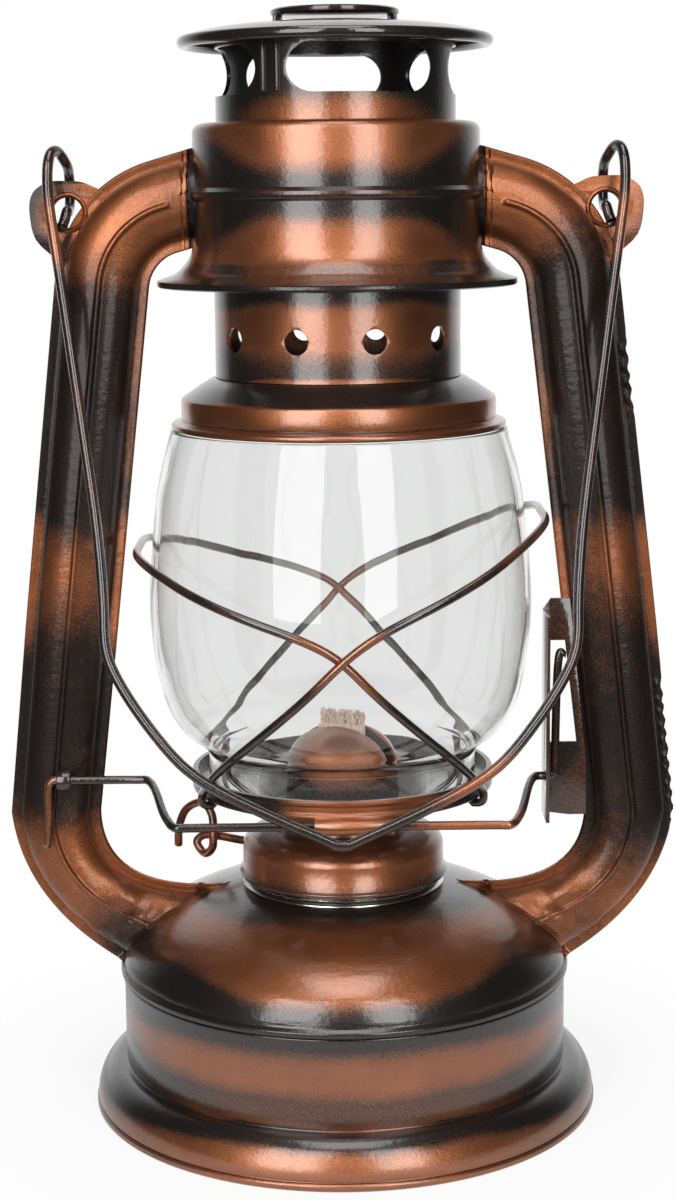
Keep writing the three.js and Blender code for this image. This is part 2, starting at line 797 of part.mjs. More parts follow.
// Globe carrier, in heights above the flange that it lies on
function globePlate() {
  const wallFoot = plateStep - plateWallDrop;
  const wallHead = plateStep + sheet + plateWallRise;
  const bead = plateRadius + plateBead;
  const inner = plateRadius - plateWall;
  const ring = turned([
    [plateBore, 0],
    [plateSeat, 0],
    [plateSeat + plateStepRun, plateStep],
    [inner, plateStep],
    [inner, wallFoot],
    [bead, wallFoot],
    [bead, wallFoot + plateBeadHeight],
    [plateRadius, wallFoot + plateBeadHeight + plateBead],
    [plateRadius, wallHead - plateBeadHeight - plateBead],
    [bead, wallHead - plateBeadHeight],
    [bead, wallHead],
    [inner, wallHead],
    [inner, plateStep + sheet],
    [plateSeat + plateStepRun - sheet / 2, plateStep + sheet],
    [plateSeat - sheet / 2, sheet],
    [plateBore, sheet],
  ]);
  const vents = [];
  for (let i = 0; i < ventCount; i++) {
    const slot = block(ventLength, ventWidth, sheet + overrun);
    slot.translate(ventReach, 0, plateStep).rotateZ((i / ventCount) * Math.PI * 2);
    vents.push(slot);
  }
  const boreHalf = crankRadius + seatGap;
  const sleeve = stadiumBar(boreHalf + sleeveWall, sleevePlay, sleeveLength);
  const bore = stadiumBar(boreHalf, sleevePlay, sleeveLength + overrun);
  const sleeveHeight = crankSleeveHeight - carrierSeat;
  sleeve.translate(sleeveOffset, crankSleeveY, sleeveHeight);
  bore.translate(sleeveOffset, crankSleeveY, sleeveHeight);
  return cut(joined(cut(ring, ...vents), sleeve), bore);
}

// A bar along X whose section is a slot shape, longer in Y than in Z
function stadiumBar(radius, play, length) {
  const shape = new THREE.Shape();
  shape.absarc(0, play, radius, 0, Math.PI, false);
  shape.absarc(0, -play, radius, Math.PI, Math.PI * 2, false);
  const bar = extruded(shape, length);
  return bar.rotateY(Math.PI / 2).translate(-length / 2, 0, 0);
}

function globe() {
  const height = globeTop - globeFoot;
  const foot = globeFoot - carrierSeat;
  const outline = new THREE.SplineCurve(globeShares.map(
    ([radius, rise]) => new THREE.Vector2(radius * globeRadius, foot + rise * height),
  ));
  const outer = outline.getPoints(12).map((point) => [point.x, point.y]);
  const inner = outline.getPoints(6).map((point) => [point.x - globeWall, point.y]).reverse();
  return turned([
    [globeFootRadius - globeWall, foot],
    [globeFootRadius, foot],
    ...outer,
    ...inner,
  ]);
}

function guardHoop(side, rise, crossGap) {
  const rim = plateRadius + plateBead + seatGap + guardRadius;
  const endHeight = carrierSeat + plateStep;
  const under = carrierSeat + plateStep - plateWallDrop - seatGap - guardRadius;
  const half = [];
  for (const [degrees, swell, lift] of guardShares) {
    const along = degrees / 90;
    const radius = guardSide + (guardWaist + crossGap - guardSide) * along + guardSwell * swell;
    half.push([degrees, radius, guardCrossing + rise * lift]);
  }
  for (const [degrees, inward, drop] of guardEndShares) {
    const radius = guardWaist + crossGap + (rim - guardWaist - crossGap) * inward;
    half.push([degrees, radius, guardCrossing + (endHeight - guardCrossing) * drop]);
  }
  half.push([guardEndTurn, rim, endHeight]);
  half.push([guardTuckTurn, rim - guardRadius / 2, under + guardRadius / 2]);
  half.push([guardTuckTurn, rim - guardTuck / 2, under]);
  half.push([guardTuckTurn, rim - guardTuck, under]);
  const rear = half.slice(1).reverse().map(([degrees, radius, height]) => [-degrees, radius, height]);
  const route = [...rear, ...half].map(([degrees, radius, height]) => {
    const angle = THREE.MathUtils.degToRad(degrees);
    return [side * radius * Math.cos(angle), -radius * Math.sin(angle), height - carrierSeat];
  });
  return wire(route, guardRadius, 2);
}

// Lift crank
function liftCrank() {
  const lowY = crankSleeveY;
  const low = crankSleeveHeight;
  const axis = [crankAxisY, crankAxisHeight];
  const armTop = crankArm + crankArmLean;
  const head = crankAxisHeight + crankArmRise;
  return wire([
    [-crankTail - crankBend / 2, crankAxisY, crankAxisHeight - crankTailDrop],
    [-crankTail, crankAxisY, crankAxisHeight - crankTailDrop / 2],
    [-crankTail + crankBend / 4, crankAxisY, crankAxisHeight - crankBend],
    [-crankTail + crankBend, ...axis],
    [-eyeletReach, ...axis],
    [-crankOuter - crankBend * 2, ...axis],
    [-crankOuter, crankAxisY - crankBend / 2, crankAxisHeight],
    [-crankInner - crankBend, lowY + crankReach * 0.2, low + crankDrop * 0.2],
    [-crankInner + crankBend, lowY, low],
    [-crankInner + crankBend * 3, lowY, low],
    [0, lowY, low],
    [crankInner - crankBend * 3, lowY, low],
    [crankInner - crankBend, lowY, low],
    [crankInner + crankBend, lowY + crankReach * 0.2, low + crankDrop * 0.2],
    [crankOuter - crankBend / 2, crankAxisY - crankBend / 2, crankAxisHeight],
    [crankOuter + crankBend, ...axis],
    [crankArm - crankBend, ...axis],
    [crankArm - crankBend / 4, crankAxisY, crankAxisHeight + crankBend / 4],
    [crankArm, crankAxisY, crankAxisHeight + crankBend],
    [crankArm, crankAxisY, crankAxisHeight + crankBend * 3],
    [armTop, crankAxisY, head - crankHook * 1.4],
    [armTop + crankHook * 0.4, crankAxisY, head - crankHook * 0.2],
    [armTop + crankHook, crankAxisY, head - crankHook],
  ], crankRadius, 2);
}

function crankEyelet() {
  const bore = crankRadius + runGap;
  const radius = bore + eyeletWall;
  const ring = disc(radius, -eyeletLength / 2, eyeletLength / 2, wireBoreFacets).rotateY(Math.PI / 2);
  const hole = disc(bore, -eyeletLength, eyeletLength, wireBoreFacets).rotateY(Math.PI / 2);
  const back = -tubeDepth - tubeRibRise - tubeSeam / 2 - seatGap;
  const stem = block(eyeletLength, back - crankAxisY, radius * 2);
  stem.translate(0, (back - crankAxisY) / 2, 0);
  const eyelet = cut(joined(ring, stem), hole);
  const behind = block(eyeletLength * 2, overrun, radius * 4);
  behind.translate(0, back - crankAxisY + overrun / 2, 0);
  return cut(eyelet, behind).translate(-eyeletReach, crankAxisY, crankAxisHeight);
}

// The middle of a side tube's straight limb at a height
function limbX(height) {
  return tubeLimbX - (height - tubeLimbFoot) * Math.tan(tubeLimbLean);
}

function leverBracket() {
  const back = -tubeSeam / 2 - tubeSheet - seatGap;
  const edge = (height) => limbX(height) - tubeHalfWidth + bracketLap;
  const plateShape = outlineShape([
    [bracketInner, bracketFoot + sheet],
    [bracketInner + (edge(bracketFoot) - bracketInner) * 0.5, bracketFoot],
    [edge(bracketFoot) - bracketLap, bracketFoot],
    [edge(bracketWindowFoot), bracketWindowFoot - bracketLap * 2],
    [edge(bracketHead), bracketHead],
    [edge(bracketHead) - bracketLap * 2.4, bracketHead],
    [bracketInner, bracketHead - bracketStripDrop],
  ]);
  const inner = bracketInner + sheet;
  const outer = (height) => edge(height) - bracketLap - bracketWindowEdge;
  const window = new THREE.Path([
    new THREE.Vector2(inner, bracketWindowFoot),
    new THREE.Vector2(inner, bracketWindowHead),
    new THREE.Vector2(outer(bracketWindowHead), bracketWindowHead),
    new THREE.Vector2(outer(bracketWindowFoot), bracketWindowFoot),
  ]);
  plateShape.holes.push(window);
  const plate = uprightPlate(plateShape, back - sheet, back);
  const stripHeight = bracketHead - bracketStripDrop - bracketFoot - sheet;
  const stripDepth = bracketStripDepth + back;
  const strip = block(sheet, stripDepth, stripHeight);
  strip.translate(inner - sheet / 2, back - stripDepth / 2, bracketFoot + sheet + stripHeight / 2);
  const hole = disc(crankRadius + runGap, -overrun, overrun, wireBoreFacets).rotateY(Math.PI / 2);
  hole.translate(inner - sheet / 2, crankAxisY, crankAxisHeight);
  return cut(joined(plate, strip), hole);
}

// Side tubes: the limb's rings as pairs of inner and outer edge points in X and Z
function tubeEdges() {
  const direction = new THREE.Vector2(Math.cos(tubeStartSlope), -Math.sin(tubeStartSlope));
  const start = new THREE.Vector2(tubeStart, tubeStartHeight);
  const turn = Math.PI / 2 - tubeLimbLean - tubeStartSlope;
  const down = new THREE.Vector2(Math.sin(tubeLimbLean), -Math.cos(tubeLimbLean));
  const across = start.x - limbX(start.y);
  const limbRun = direction.x + direction.y * Math.tan(tubeLimbLean);
  const corner = start.clone().addScaledVector(direction, -across / limbRun);
  const tangent = tubeElbowRadius * Math.tan(turn / 2);
  const middle = corner.clone().addScaledVector(direction, -tangent);
  const inward = new THREE.Vector2(direction.y, -direction.x).multiplyScalar(tubeElbowRadius);
  const centre = middle.clone().add(inward);
  const rings = [];
  const addRing = (place, heading) => {
    const outward = new THREE.Vector2(-heading.y, heading.x).multiplyScalar(tubeHalfWidth);
    rings.push([place.clone().sub(outward), place.clone().add(outward)]);
  };
  addRing(start, direction);
  for (let i = 0; i <= 4; i++) {
    const heading = direction.clone().rotateAround(new THREE.Vector2(), (-turn * i) / 4);
    const spoke = new THREE.Vector2(-heading.y, heading.x).multiplyScalar(tubeElbowRadius);
    addRing(centre.clone().add(spoke), heading);
  }
  for (const share of [0.65, 0.3, 0]) {
    const height = tubeLimbFoot + (middle.y - tubeLimbFoot) * share;
    if (share > 0) addRing(new THREE.Vector2(limbX(height), height), down);
  }
  return rings.concat(footEdges());
}

// The lower elbow and the foot: both edges are curves from the limb down to the dome
function footEdges() {
  const innerStart = new THREE.Vector2(tubeLimbX - tubeHalfWidth, tubeLimbFoot);
  const outerStart = new THREE.Vector2(tubeLimbX + tubeHalfWidth * 0.97, tubeLimbFoot);
  const toe = new THREE.Vector2(tubeToeX, tubeToeHeight);
  const heel = new THREE.Vector2(tubeHeelX, tubeHeelHeight);
  const innerKnee = new THREE.Vector2(innerStart.x, tubeToeHeight - tubeFlange);
  const kneeHeight = (tubeLimbFoot + tubeHeelHeight) / 2 - tubeKneeDrop;
  const outerKnee = new THREE.Vector2(outerStart.x - tubeFlange, kneeHeight);
  const inner = new THREE.QuadraticBezierCurve(innerStart, innerKnee, toe);
  const outer = new THREE.QuadraticBezierCurve(outerStart, outerKnee, heel);
  const rings = [];
  for (const share of [0, 0.2, 0.4, 0.6, 0.8, 1]) {
    rings.push([inner.getPoint(share), outer.getPoint(share)]);
  }
  const inward = new THREE.Vector2(heel.y - toe.y, toe.x - heel.x).setLength(tubeRunIn);
  rings.push([toe.clone().add(inward), heel.clone().add(inward)]);
  return rings;
}

// A half tube's section across its width: shares of the half width and of the depth
function halfSection(inset) {
  const bulge = tubeHalfWidth - tubeFlange - inset;
  const points = [];
  if (inset === 0) points.push([-tubeHalfWidth, 0], [-tubeHalfWidth, tubeSheet]);
  const steps = 6;
  for (let i = 0; i <= steps; i++) {
    const angle = Math.PI - (Math.PI * i) / steps;
    const depth = Math.sin(angle) ** 0.75 * (tubeDepth - inset);
    const across = bulge * Math.cos(angle);
    if (inset === 0 && i === steps / 2) {
      points.push([-tubeRibWidth, depth * 0.985], [-tubeRibWidth / 2, depth + tubeRibRise]);
      points.push([tubeRibWidth / 2, depth + tubeRibRise], [tubeRibWidth, depth * 0.985]);
    } else {
      points.push([across, inset === 0 ? Math.max(depth, tubeSheet) : depth]);
    }
  }
  if (inset === 0) points.push([tubeHalfWidth, tubeSheet], [tubeHalfWidth, 0]);
  else points.push([bulge, -overrun], [-bulge, -overrun]);
  return points;
}

function halfTubeLoft(inset) {
  const section = halfSection(inset);
  const outline = section.map(([x, y]) => new THREE.Vector2(x, y));
  const edges = tubeEdges();
  const rings = edges.map(([inner, outer], index) => {
    const middle = inner.clone().add(outer).multiplyScalar(0.5);
    const half = outer.clone().sub(inner).multiplyScalar(0.5);
    const past = Math.max(0, (index - (edges.length - 5)) / 4);
    const thin = 1 - footThinShare * past;
    return section.map(([x, y]) => new THREE.Vector3(
      middle.x + (half.x * x) / tubeHalfWidth,
      -y * thin,
      middle.y + (half.y * x) / tubeHalfWidth,
    ));
  });
  return lofted(rings, outline);
}

function earPlate() {
  const inner = limbX(earHeight) - tubeFlange;
  const shape = outlineShape([
    [inner - tubeFlange, earHeight + earHole],
    [earX - earHole * 2.2, earTop - earRing * 1.6],
    [earX - earHole, earTop],
    [earX + earHole * 1.6, earTop],
    [earEdge - earRing / 2, earTop - earRing * 1.5],
    [earEdge, earHeight],
    [limbX(earHeight) + tubeHalfWidth, earHeight - earHole * 3.4],
    [limbX(earHeight) + tubeFlange, earHeight - earHole * 3],
  ]);
  return uprightPlate(shape, -tubeSheet, 0);
}

// The right front half: the others are its mirror images
function halfTube() {
  const shell = joined(halfTubeLoft(0), earPlate());
  const ring = disc(earHole + earRing, 0, tubeSheet + earRingRise).rotateX(Math.PI / 2);
  const hole = disc(earHole, -overrun, overrun).rotateX(Math.PI / 2);
  const air = halfTubeLoft(tubeSheet);
  ring.translate(earX, 0, earHeight);
  hole.translate(earX, 0, earHeight);
  const half = cut(joined(cut(shell, air), ring), hole, fountBody(seatGap), hoodBody(seatGap));
  return half.translate(0, -tubeSeam / 2, 0);
}

// Hood, in heights above its lip
function hoodOutline() {
  return [
    [hoodLip - sheet, 0],
    [hoodLip, sheet / 2],
    [hoodLip, hoodLipHeight],
    [hoodLower + (hoodLip - hoodLower) * 0.6, hoodFlareHeight * 0.3],
    [hoodLower + (hoodLip - hoodLower) * 0.3, hoodFlareHeight * 0.5],
    [hoodLower + (hoodLip - hoodLower) * 0.1, hoodFlareHeight * 0.74],
    [hoodLower, hoodFlareHeight],
    [hoodLower, hoodBeadHeight - hoodBead * 2],
    [hoodLower + hoodBead, hoodBeadHeight - hoodBead],
    [hoodLower + hoodBead, hoodBeadHeight + hoodBead],
    [hoodUpper, hoodBeadHeight + hoodBead * 2],
    [hoodUpper, hoodHeight - hoodShoulder],
    [hoodUpper - hoodShoulder * 0.3, hoodHeight - hoodShoulder * 0.3],
    [hoodUpper - hoodShoulder, hoodHeight],
    [hoodBore, hoodHeight],
  ];
}

function hood() {
  const inside = [
    [hoodBore, hoodHeight - sheet],
    [hoodUpper - hoodShoulder, hoodHeight - sheet],
    [hoodUpper - sheet, hoodHeight - hoodShoulder],
    [hoodUpper - sheet, hoodBeadHeight],
    [hoodLower - sheet, hoodBeadHeight - hoodBead * 2],
    [hoodLower - sheet, hoodFlareHeight],
    [hoodLower + (hoodLip - hoodLower) * 0.2 - sheet, hoodFlareHeight * 0.54],
    [hoodLower + (hoodLip - hoodLower) * 0.6 - sheet, hoodFlareHeight * 0.2],
    [hoodLip - sheet * 2, sheet],
    [hoodLip - sheet * 2, 0],
  ];
  const shell = turned([...hoodOutline(), ...inside]);
  const port = block((hoodLip + overrun) * 2, portWidth, portHeight);
  return cut(shell, port.translate(0, 0, tubeMeetHeight() - hoodFoot));
}

// The height at which a tube's middle meets the hood
function tubeMeetHeight() {
  return tubeStartHeight - (hoodUpper - tubeStart) * Math.tan(tubeStartSlope);
}

function hoodBody(gap) {
  const outline = hoodOutline().map(([radius, height]) => [radius + gap, hoodFoot + height]);
  return turned([[0, hoodFoot], ...outline, [0, hoodFoot + hoodHeight]]);
}

// Chimney, in heights above the crown's foot
function crown() {
  const spigot = chimneyRadius - chimneySheet - seatGap;
  const seat = crownRadius - sheet * 2;
  return turned([
    [seat, 0],
    [crownRim, 0],
    [crownRim, crownRimHeight],
    [crownRadius, crownRimHeight + sheet],
    [crownRadius, crownWallTop],
    [crownRadius - crownShoulder, crownWallTop + crownShoulder],
    [chimneyRadius, crownHeight],
    [spigot, crownHeight],
    [spigot, crownHeight + crownSpigot],
    [spigot - sheet, crownHeight + crownSpigot],
    [spigot - sheet, crownHeight - sheet],
    [crownRadius - crownShoulder - sheet, crownWallTop],
    [seat, crownWallTop - crownShoulder],
  ]);
}

function chimneyTube() {
  const foot = crownHeight + seatGap;
  const shell = tubeRing(chimneyRadius - chimneySheet, chimneyRadius, foot, foot + chimneyLength);
  const holes = [];
  for (let i = 0; i < chimneyHoleCount; i++) {
    const [near, far] = [chimneyRadius - overrun, chimneyRadius + overrun];
    const hole = disc(chimneyHoleRadius, near, far, chimneyHoleFacets);
    hole.rotateX(Math.PI / 2).translate(0, 0, chimneyHoleRise);
    hole.rotateZ(chimneyHoleTurn + (i / chimneyHoleCount) * Math.PI * 2);
    holes.push(hole);
  }
  return cut(shell, ...holes);
}

function ventCollar() {
  const shell = tubeRing(ventRadius - chimneySheet, ventRadius, ventRise, ventTop);
  const half = ventSlotHeight / 2;
  const run = ventSlotLength / 2 - half;
  const slotShape = new THREE.Shape();
  slotShape.absarc(run, 0, half, -Math.PI / 2, Math.PI / 2, false);
  slotShape.absarc(-run, 0, half, Math.PI / 2, Math.PI * 1.5, false);
  const ridgeFoot = ventRise + ventSlotRise;
  const slots = [];
  for (let i = 0; i < ventSlotCount; i++) {
    const slot = uprightPlate(slotShape, -ventRadius - overrun, -ventRadius / 3);
    slot.translate(0, 0, ridgeFoot + half);
    slot.rotateZ(ventSlotTurn + (i / ventSlotCount) * Math.PI * 2);
    slots.push(slot);
  }
  const ridgeY = -ventRadius - ventRidge / 2 + chimneySheet / 2;
  const ridges = [-1, 1].map((side) => {
    const ridge = block(ventRidgeWidth, chimneySheet + ventRidge, ventTop - ridgeFoot);
    ridge.translate((side * ventRidgeSpacing) / 2, ridgeY, (ventTop + ridgeFoot) / 2);
    return ridge.rotateZ(ventSlotTurn - Math.PI / ventSlotCount);
  });
  return joined(cut(shell, ...slots), ...ridges);
}

function chimneyCap() {
  const rimTop = capFoot + capRimHeight;
  const middle = rimTop + capRise;
  const flat = ventTop + seatGap;
  return turned([
    [0, flat],
    [ventRadius + sheet * 2, flat],
    [capRadius - capLip * 1.5, rimTop - sheet / 2],
    [capRadius - capLip, capFoot],
    [capRadius, capFoot + sheet / 2],
    [capRadius, rimTop],
    [capRadius - capLip, rimTop + capRise * 0.15],
    [capRadius * 0.8, rimTop + capRise * 0.45],
    [capRadius * 0.5, rimTop + capRise * 0.82],
    [0, middle],
  ]);
}

function capTopAt(reach) {
  const along = reach / (capRadius * 0.5);
  return capFoot + capRimHeight + capRise * (1 - 0.18 * along);
}

function liftKnob() {
  const foot = knobTop - knobThickness;
  const edge = knobThickness / 3;
  const plate = turned([
    [0, foot],
    [knobRadius - edge, foot],
    [knobRadius, foot + edge],
    [knobRadius, knobTop - edge],
    [knobRadius - edge, knobTop - edge / 2],
    [knobRadius * 0.62, knobTop - edge / 2],
    [knobRadius * 0.56, knobTop],
    [0, knobTop],
  ], boreFacets);
  const legFoot = capTopAt(knobLegReach - knobLegWidth / 2) + seatGap;
  const legs = [-1, 1].map((side) => {
    const leg = block(knobLegWidth, knobLegDepth, foot + edge - legFoot);
    return leg.translate(side * knobLegReach, 0, (foot + edge + legFoot) / 2);
  });
  return joined(plate, ...legs);
}

function springWasher() {
  const bore = chimneyRadius + seatGap;
  return tubeRing(bore, washerRadius, washerRise, washerRise + washerThickness);
}

// One unbroken coil of small rings that climbs from the washer to the hood's top
function chimneySpring() {
  const foot = washerTop + seatGap + springWire;
  const head = hoodFoot + hoodHeight - sheet - seatGap - springWire;
  const steps = springTurns * springTurnSteps;
  const rings = [];
  for (let i = 0; i <= steps; i++) {
    const angle = (i / springTurnSteps) * Math.PI * 2;
    const height = foot + ((head - foot) * i) / steps;
    const ring = [];
    for (let k = 0; k < wireFacets; k++) {
      const round = (k / wireFacets) * Math.PI * 2;
      const reach = springRadius + springWire * Math.cos(round);
      const rise = height + springWire * Math.sin(round);
      ring.push(new THREE.Vector3(reach * Math.cos(angle), reach * Math.sin(angle), rise - chimneyFoot));
    }
    rings.push(ring);
  }
  const pitch = (head - foot) / springTurns;
  console.log(`chimney_spring: least gap to itself ${(pitch - springWire * 2).toFixed(2)} mm`);
  const outline = rings[0].map((point) => new THREE.Vector2(point.x, point.z));
  return lofted(rings, outline);
}

// Bail: the left strand, then the bend at the middle and the right strand in reverse
function bail() {
  const drop = bailPivotHeight - bailFoot;
  const strandAt = (x, share) => [x, -bailStandOff - bailLean * share, bailPivotHeight - drop * share];
  const eye = (degrees, radius, x) => {
    const angle = THREE.MathUtils.degToRad(degrees);
    return [x, radius * Math.sin(angle), bailPivotHeight - radius * Math.cos(angle)];
  };
  const clear = tubeSeam / 2 + tubeSheet + earRingRise + seatGap + bailRadius;
  const tailFoot = earHeight - bailTailDrop;
  const side = [
    [earX + bailRadius, -clear - bailRadius, tailFoot],
    [earX + bailRadius / 2, -clear, tailFoot + bailRadius * 1.5],
    eye(-22, bailEyeRadius, earX),
    eye(0, bailEyeRadius, earX),
    eye(32, bailEyeRadius, earX),
    eye(64, bailEyeRadius, earX),
    eye(98, bailEyeRadius, earX),
    eye(130, bailEyeRadius, earX),
    eye(154, bailEyeRadius, earX),
    eye(176, bailEyeRadius * 1.14, earX + bailRadius * 0.3),
    eye(196, bailCrest * 0.92, earX + bailRadius * 1.5),
    eye(214, bailCrest, earX + bailRadius * 2.4),
    eye(236, bailCrest * 0.98, earX + bailRadius * 2.8),
    [bailSpan + bailRadius * 1.2, -bailStandOff - bailRadius / 2, bailPivotHeight - bailRadius],
    ...bailStrandShares.map(([out, share]) => strandAt(bailWaist + (bailSpan - bailWaist) * out, share)),
    ...bailCurveShares.map(([out, share]) => strandAt(bailWaist * out, share)),
  ];
  const right = side.slice().reverse();
  const left = side.map(([x, y, z]) => [-x, y, z]);
  return wire([...left, strandAt(0, 1), ...right], bailRadius, 2);
}

// Assembly
const lantern = new THREE.Group();

const fount = groupAt(
  0,
  part('tank_drum', 'copper', tankDrum()),
  part('tank_bottom', 'copper', tankBottom()),
  part('tank_dome', 'copper', tankDome()),
);

const filler = groupAt(
  0,
  part('filler_neck', 'steel', fillerNeck()),
  part('filler_gasket', 'rubber', fillerGasket()),
  part('filler_cap', 'black', fillerCap()),
);
filler.position.y = fillerReach;

const winder = new THREE.Group();
winder.add(
  part('winder_wire', 'wire', winderWire()),
  part('spur_wheel_inner', 'brass', spurWheel(-spurSpacing / 2)),
  part('spur_wheel_outer', 'brass', spurWheel(spurSpacing / 2)),
);
setWinderPlace(winder);

const burner = groupAt(
  burnerSeat,
  part('burner_collar', 'steel', burnerCollar()),
  part('burner_cup', 'brass', burnerCup()),
  part('burner_skirt', 'copper', burnerSkirt()),
  part('wick_tube', 'brass', wickTube()),
  part('wick', 'wick', wick()),
  part('flame_spreader', 'copper', spreader()),
  winder,
);

const carrier = groupAt(
  carrierSeat,
  part('globe_plate', 'gunmetal', globePlate()),
  part('globe', 'glass', globe()),
  part('guard_hoop_left', 'wire', guardHoop(-1, guardLeftRise, 0)),
  part('guard_hoop_right', 'wire', guardHoop(1, guardRightRise, guardRadius * 2 + seatGap)),
);

const tubeHalf = halfTube();
const frame = groupAt(
  0,
  part('right_tube_front', 'copper', mirrored(tubeHalf, 1, 1)),
  part('right_tube_rear', 'copper', mirrored(tubeHalf, 1, -1)),
  part('left_tube_front', 'copper', mirrored(tubeHalf, -1, 1)),
  part('left_tube_rear', 'copper', mirrored(tubeHalf, -1, -1)),
  part('lever_bracket', 'black', leverBracket()),
  part('crank_eyelet', 'black', crankEyelet()),
  part('lift_crank', 'wire', liftCrank()),
  part('bail', 'wire', bail()),
);

const airChamber = groupAt(hoodFoot, part('hood', 'copper', hood()));

const chimney = groupAt(
  chimneyFoot,
  part('crown', 'copper', crown()),
  part('chimney_tube', 'copper', chimneyTube()),
  part('spring_washer', 'steel', springWasher()),
  part('chimney_spring', 'steel', chimneySpring()),
  part('vent_collar', 'black', ventCollar()),
  part('chimney_cap', 'black', chimneyCap()),
  part('lift_knob', 'black', liftKnob()),
);

lantern.add(fount, filler, burner, carrier, frame, airChamber, chimney);

export default lantern;
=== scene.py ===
# A hurricane lantern in airbrushed copper paint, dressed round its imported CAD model.
import json
from math import acos, copysign, cos, exp, hypot, pi, radians, sin, sqrt, tan, tau
import random
from contextlib import contextmanager
import bpy
from mathutils import Matrix, Vector, noise

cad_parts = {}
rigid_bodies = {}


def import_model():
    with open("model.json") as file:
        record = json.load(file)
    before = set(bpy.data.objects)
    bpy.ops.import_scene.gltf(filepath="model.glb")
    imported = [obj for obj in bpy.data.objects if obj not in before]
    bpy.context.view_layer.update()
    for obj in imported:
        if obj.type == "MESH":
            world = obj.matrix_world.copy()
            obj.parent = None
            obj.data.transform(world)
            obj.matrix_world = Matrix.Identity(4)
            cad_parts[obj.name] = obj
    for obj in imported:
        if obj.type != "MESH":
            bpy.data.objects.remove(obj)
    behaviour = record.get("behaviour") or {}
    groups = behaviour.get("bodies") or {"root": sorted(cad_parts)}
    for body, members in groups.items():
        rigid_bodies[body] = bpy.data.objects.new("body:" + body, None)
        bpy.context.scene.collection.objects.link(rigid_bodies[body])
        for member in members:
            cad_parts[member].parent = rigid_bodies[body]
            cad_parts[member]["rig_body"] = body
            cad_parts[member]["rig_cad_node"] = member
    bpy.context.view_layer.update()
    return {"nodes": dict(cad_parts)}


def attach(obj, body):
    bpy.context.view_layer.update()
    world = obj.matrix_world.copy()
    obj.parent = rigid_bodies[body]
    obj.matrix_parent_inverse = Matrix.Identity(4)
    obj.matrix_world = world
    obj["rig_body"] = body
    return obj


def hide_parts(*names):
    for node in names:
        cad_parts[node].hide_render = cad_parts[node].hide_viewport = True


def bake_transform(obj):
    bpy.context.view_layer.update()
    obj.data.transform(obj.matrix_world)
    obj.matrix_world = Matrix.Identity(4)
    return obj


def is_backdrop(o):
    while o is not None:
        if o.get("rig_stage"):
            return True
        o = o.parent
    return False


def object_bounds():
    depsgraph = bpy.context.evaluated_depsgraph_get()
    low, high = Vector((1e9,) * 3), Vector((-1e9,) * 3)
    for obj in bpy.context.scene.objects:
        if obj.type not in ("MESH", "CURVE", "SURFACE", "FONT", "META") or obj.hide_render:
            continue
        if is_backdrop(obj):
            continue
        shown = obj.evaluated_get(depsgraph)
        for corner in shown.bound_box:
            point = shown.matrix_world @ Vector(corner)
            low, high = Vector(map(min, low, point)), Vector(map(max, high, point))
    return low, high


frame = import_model()
mm = 0.001
print("frame loaded:", len(frame["nodes"]), "nodes")


# Tools
class Sizes(dict):  # The sizes of a piece in millimetres, read by name
    __getattr__ = dict.__getitem__


def startNew():
    if bpy.context.object and bpy.context.object.mode != "OBJECT":
        bpy.ops.object.mode_set(mode="OBJECT")
    bpy.ops.object.select_all(action="DESELECT")


def pick(piece):
    startNew()
    piece.select_set(True)
    bpy.context.view_layer.objects.active = piece


@contextmanager
def editing(piece):
    pick(piece)
    bpy.ops.object.mode_set(mode="EDIT")
    bpy.ops.mesh.select_all(action="SELECT")
    yield
    bpy.ops.object.mode_set(mode="OBJECT")


def joinPieces(first, *others):
    pick(first)
    for other in others:
        other.select_set(True)
    bpy.ops.object.join()
    return first


def modified(piece, kind, **settings):
    pick(piece)
    bpy.ops.object.modifier_add(type=kind)
    modifier = piece.modifiers[-1]
    for key, value in settings.items():
        setattr(modifier, key, value)
    bpy.ops.object.modifier_apply(modifier=modifier.name)
    return piece


def bevelled(piece, width, segments=2):
    return modified(piece, "BEVEL", width=width * mm, segments=segments, limit_method="ANGLE",
                    angle_limit=radians(32))


def smoothed(piece, angle=35):
    pick(piece)
    bpy.ops.object.shade_smooth_by_angle(angle=radians(angle))
    return piece


def cutAway(piece, *cutters):
    cutter = joinPieces(*cutters) if len(cutters) > 1 else cutters[0]
    modified(piece, "BOOLEAN", operation="DIFFERENCE", solver="EXACT", object=cutter)
    bpy.data.objects.remove(cutter)
    return piece


# Half profile in millimetres above the base, drawn point by point and spun round Z
def spunShell(name, profile, steps=112, rounding=0.0, closed=True, base=0.0):
    startNew()
    bpy.ops.mesh.primitive_plane_add(size=mm)
    piece = bpy.context.object
    piece.name = name
    bpy.ops.object.mode_set(mode="EDIT")
    bpy.ops.mesh.merge(type="CENTER")
    corners = [Vector((r, 0, base + z)) * mm for r, z in profile]
    if closed and profile[0][0] > 0:
        corners.append(corners[0])
    bpy.ops.transform.translate(value=corners[0])
    for here, there in zip(corners, corners[1:]):
        bpy.ops.mesh.extrude_vertices_move(TRANSFORM_OT_translate={"value": there - here})
    bpy.ops.mesh.select_all(action="SELECT")
    bpy.ops.mesh.spin(steps=steps, angle=tau, center=(0, 0, 0), axis=(0, 0, 1))
    with editing(piece):
        bpy.ops.mesh.remove_doubles(threshold=0.000004)
        bpy.ops.mesh.normals_make_consistent(inside=False)
    if rounding:
        bevelled(piece, rounding)
    return smoothed(piece)


def quarterArc(centre, run, rise, start=0.0, end=1.0, steps=12):
    angles = [(start + (end - start) * i / steps) * pi / 2 for i in range(steps + 1)]
    return [(centre[0] + run * cos(angle), centre[1] + rise * sin(angle)) for angle in angles]


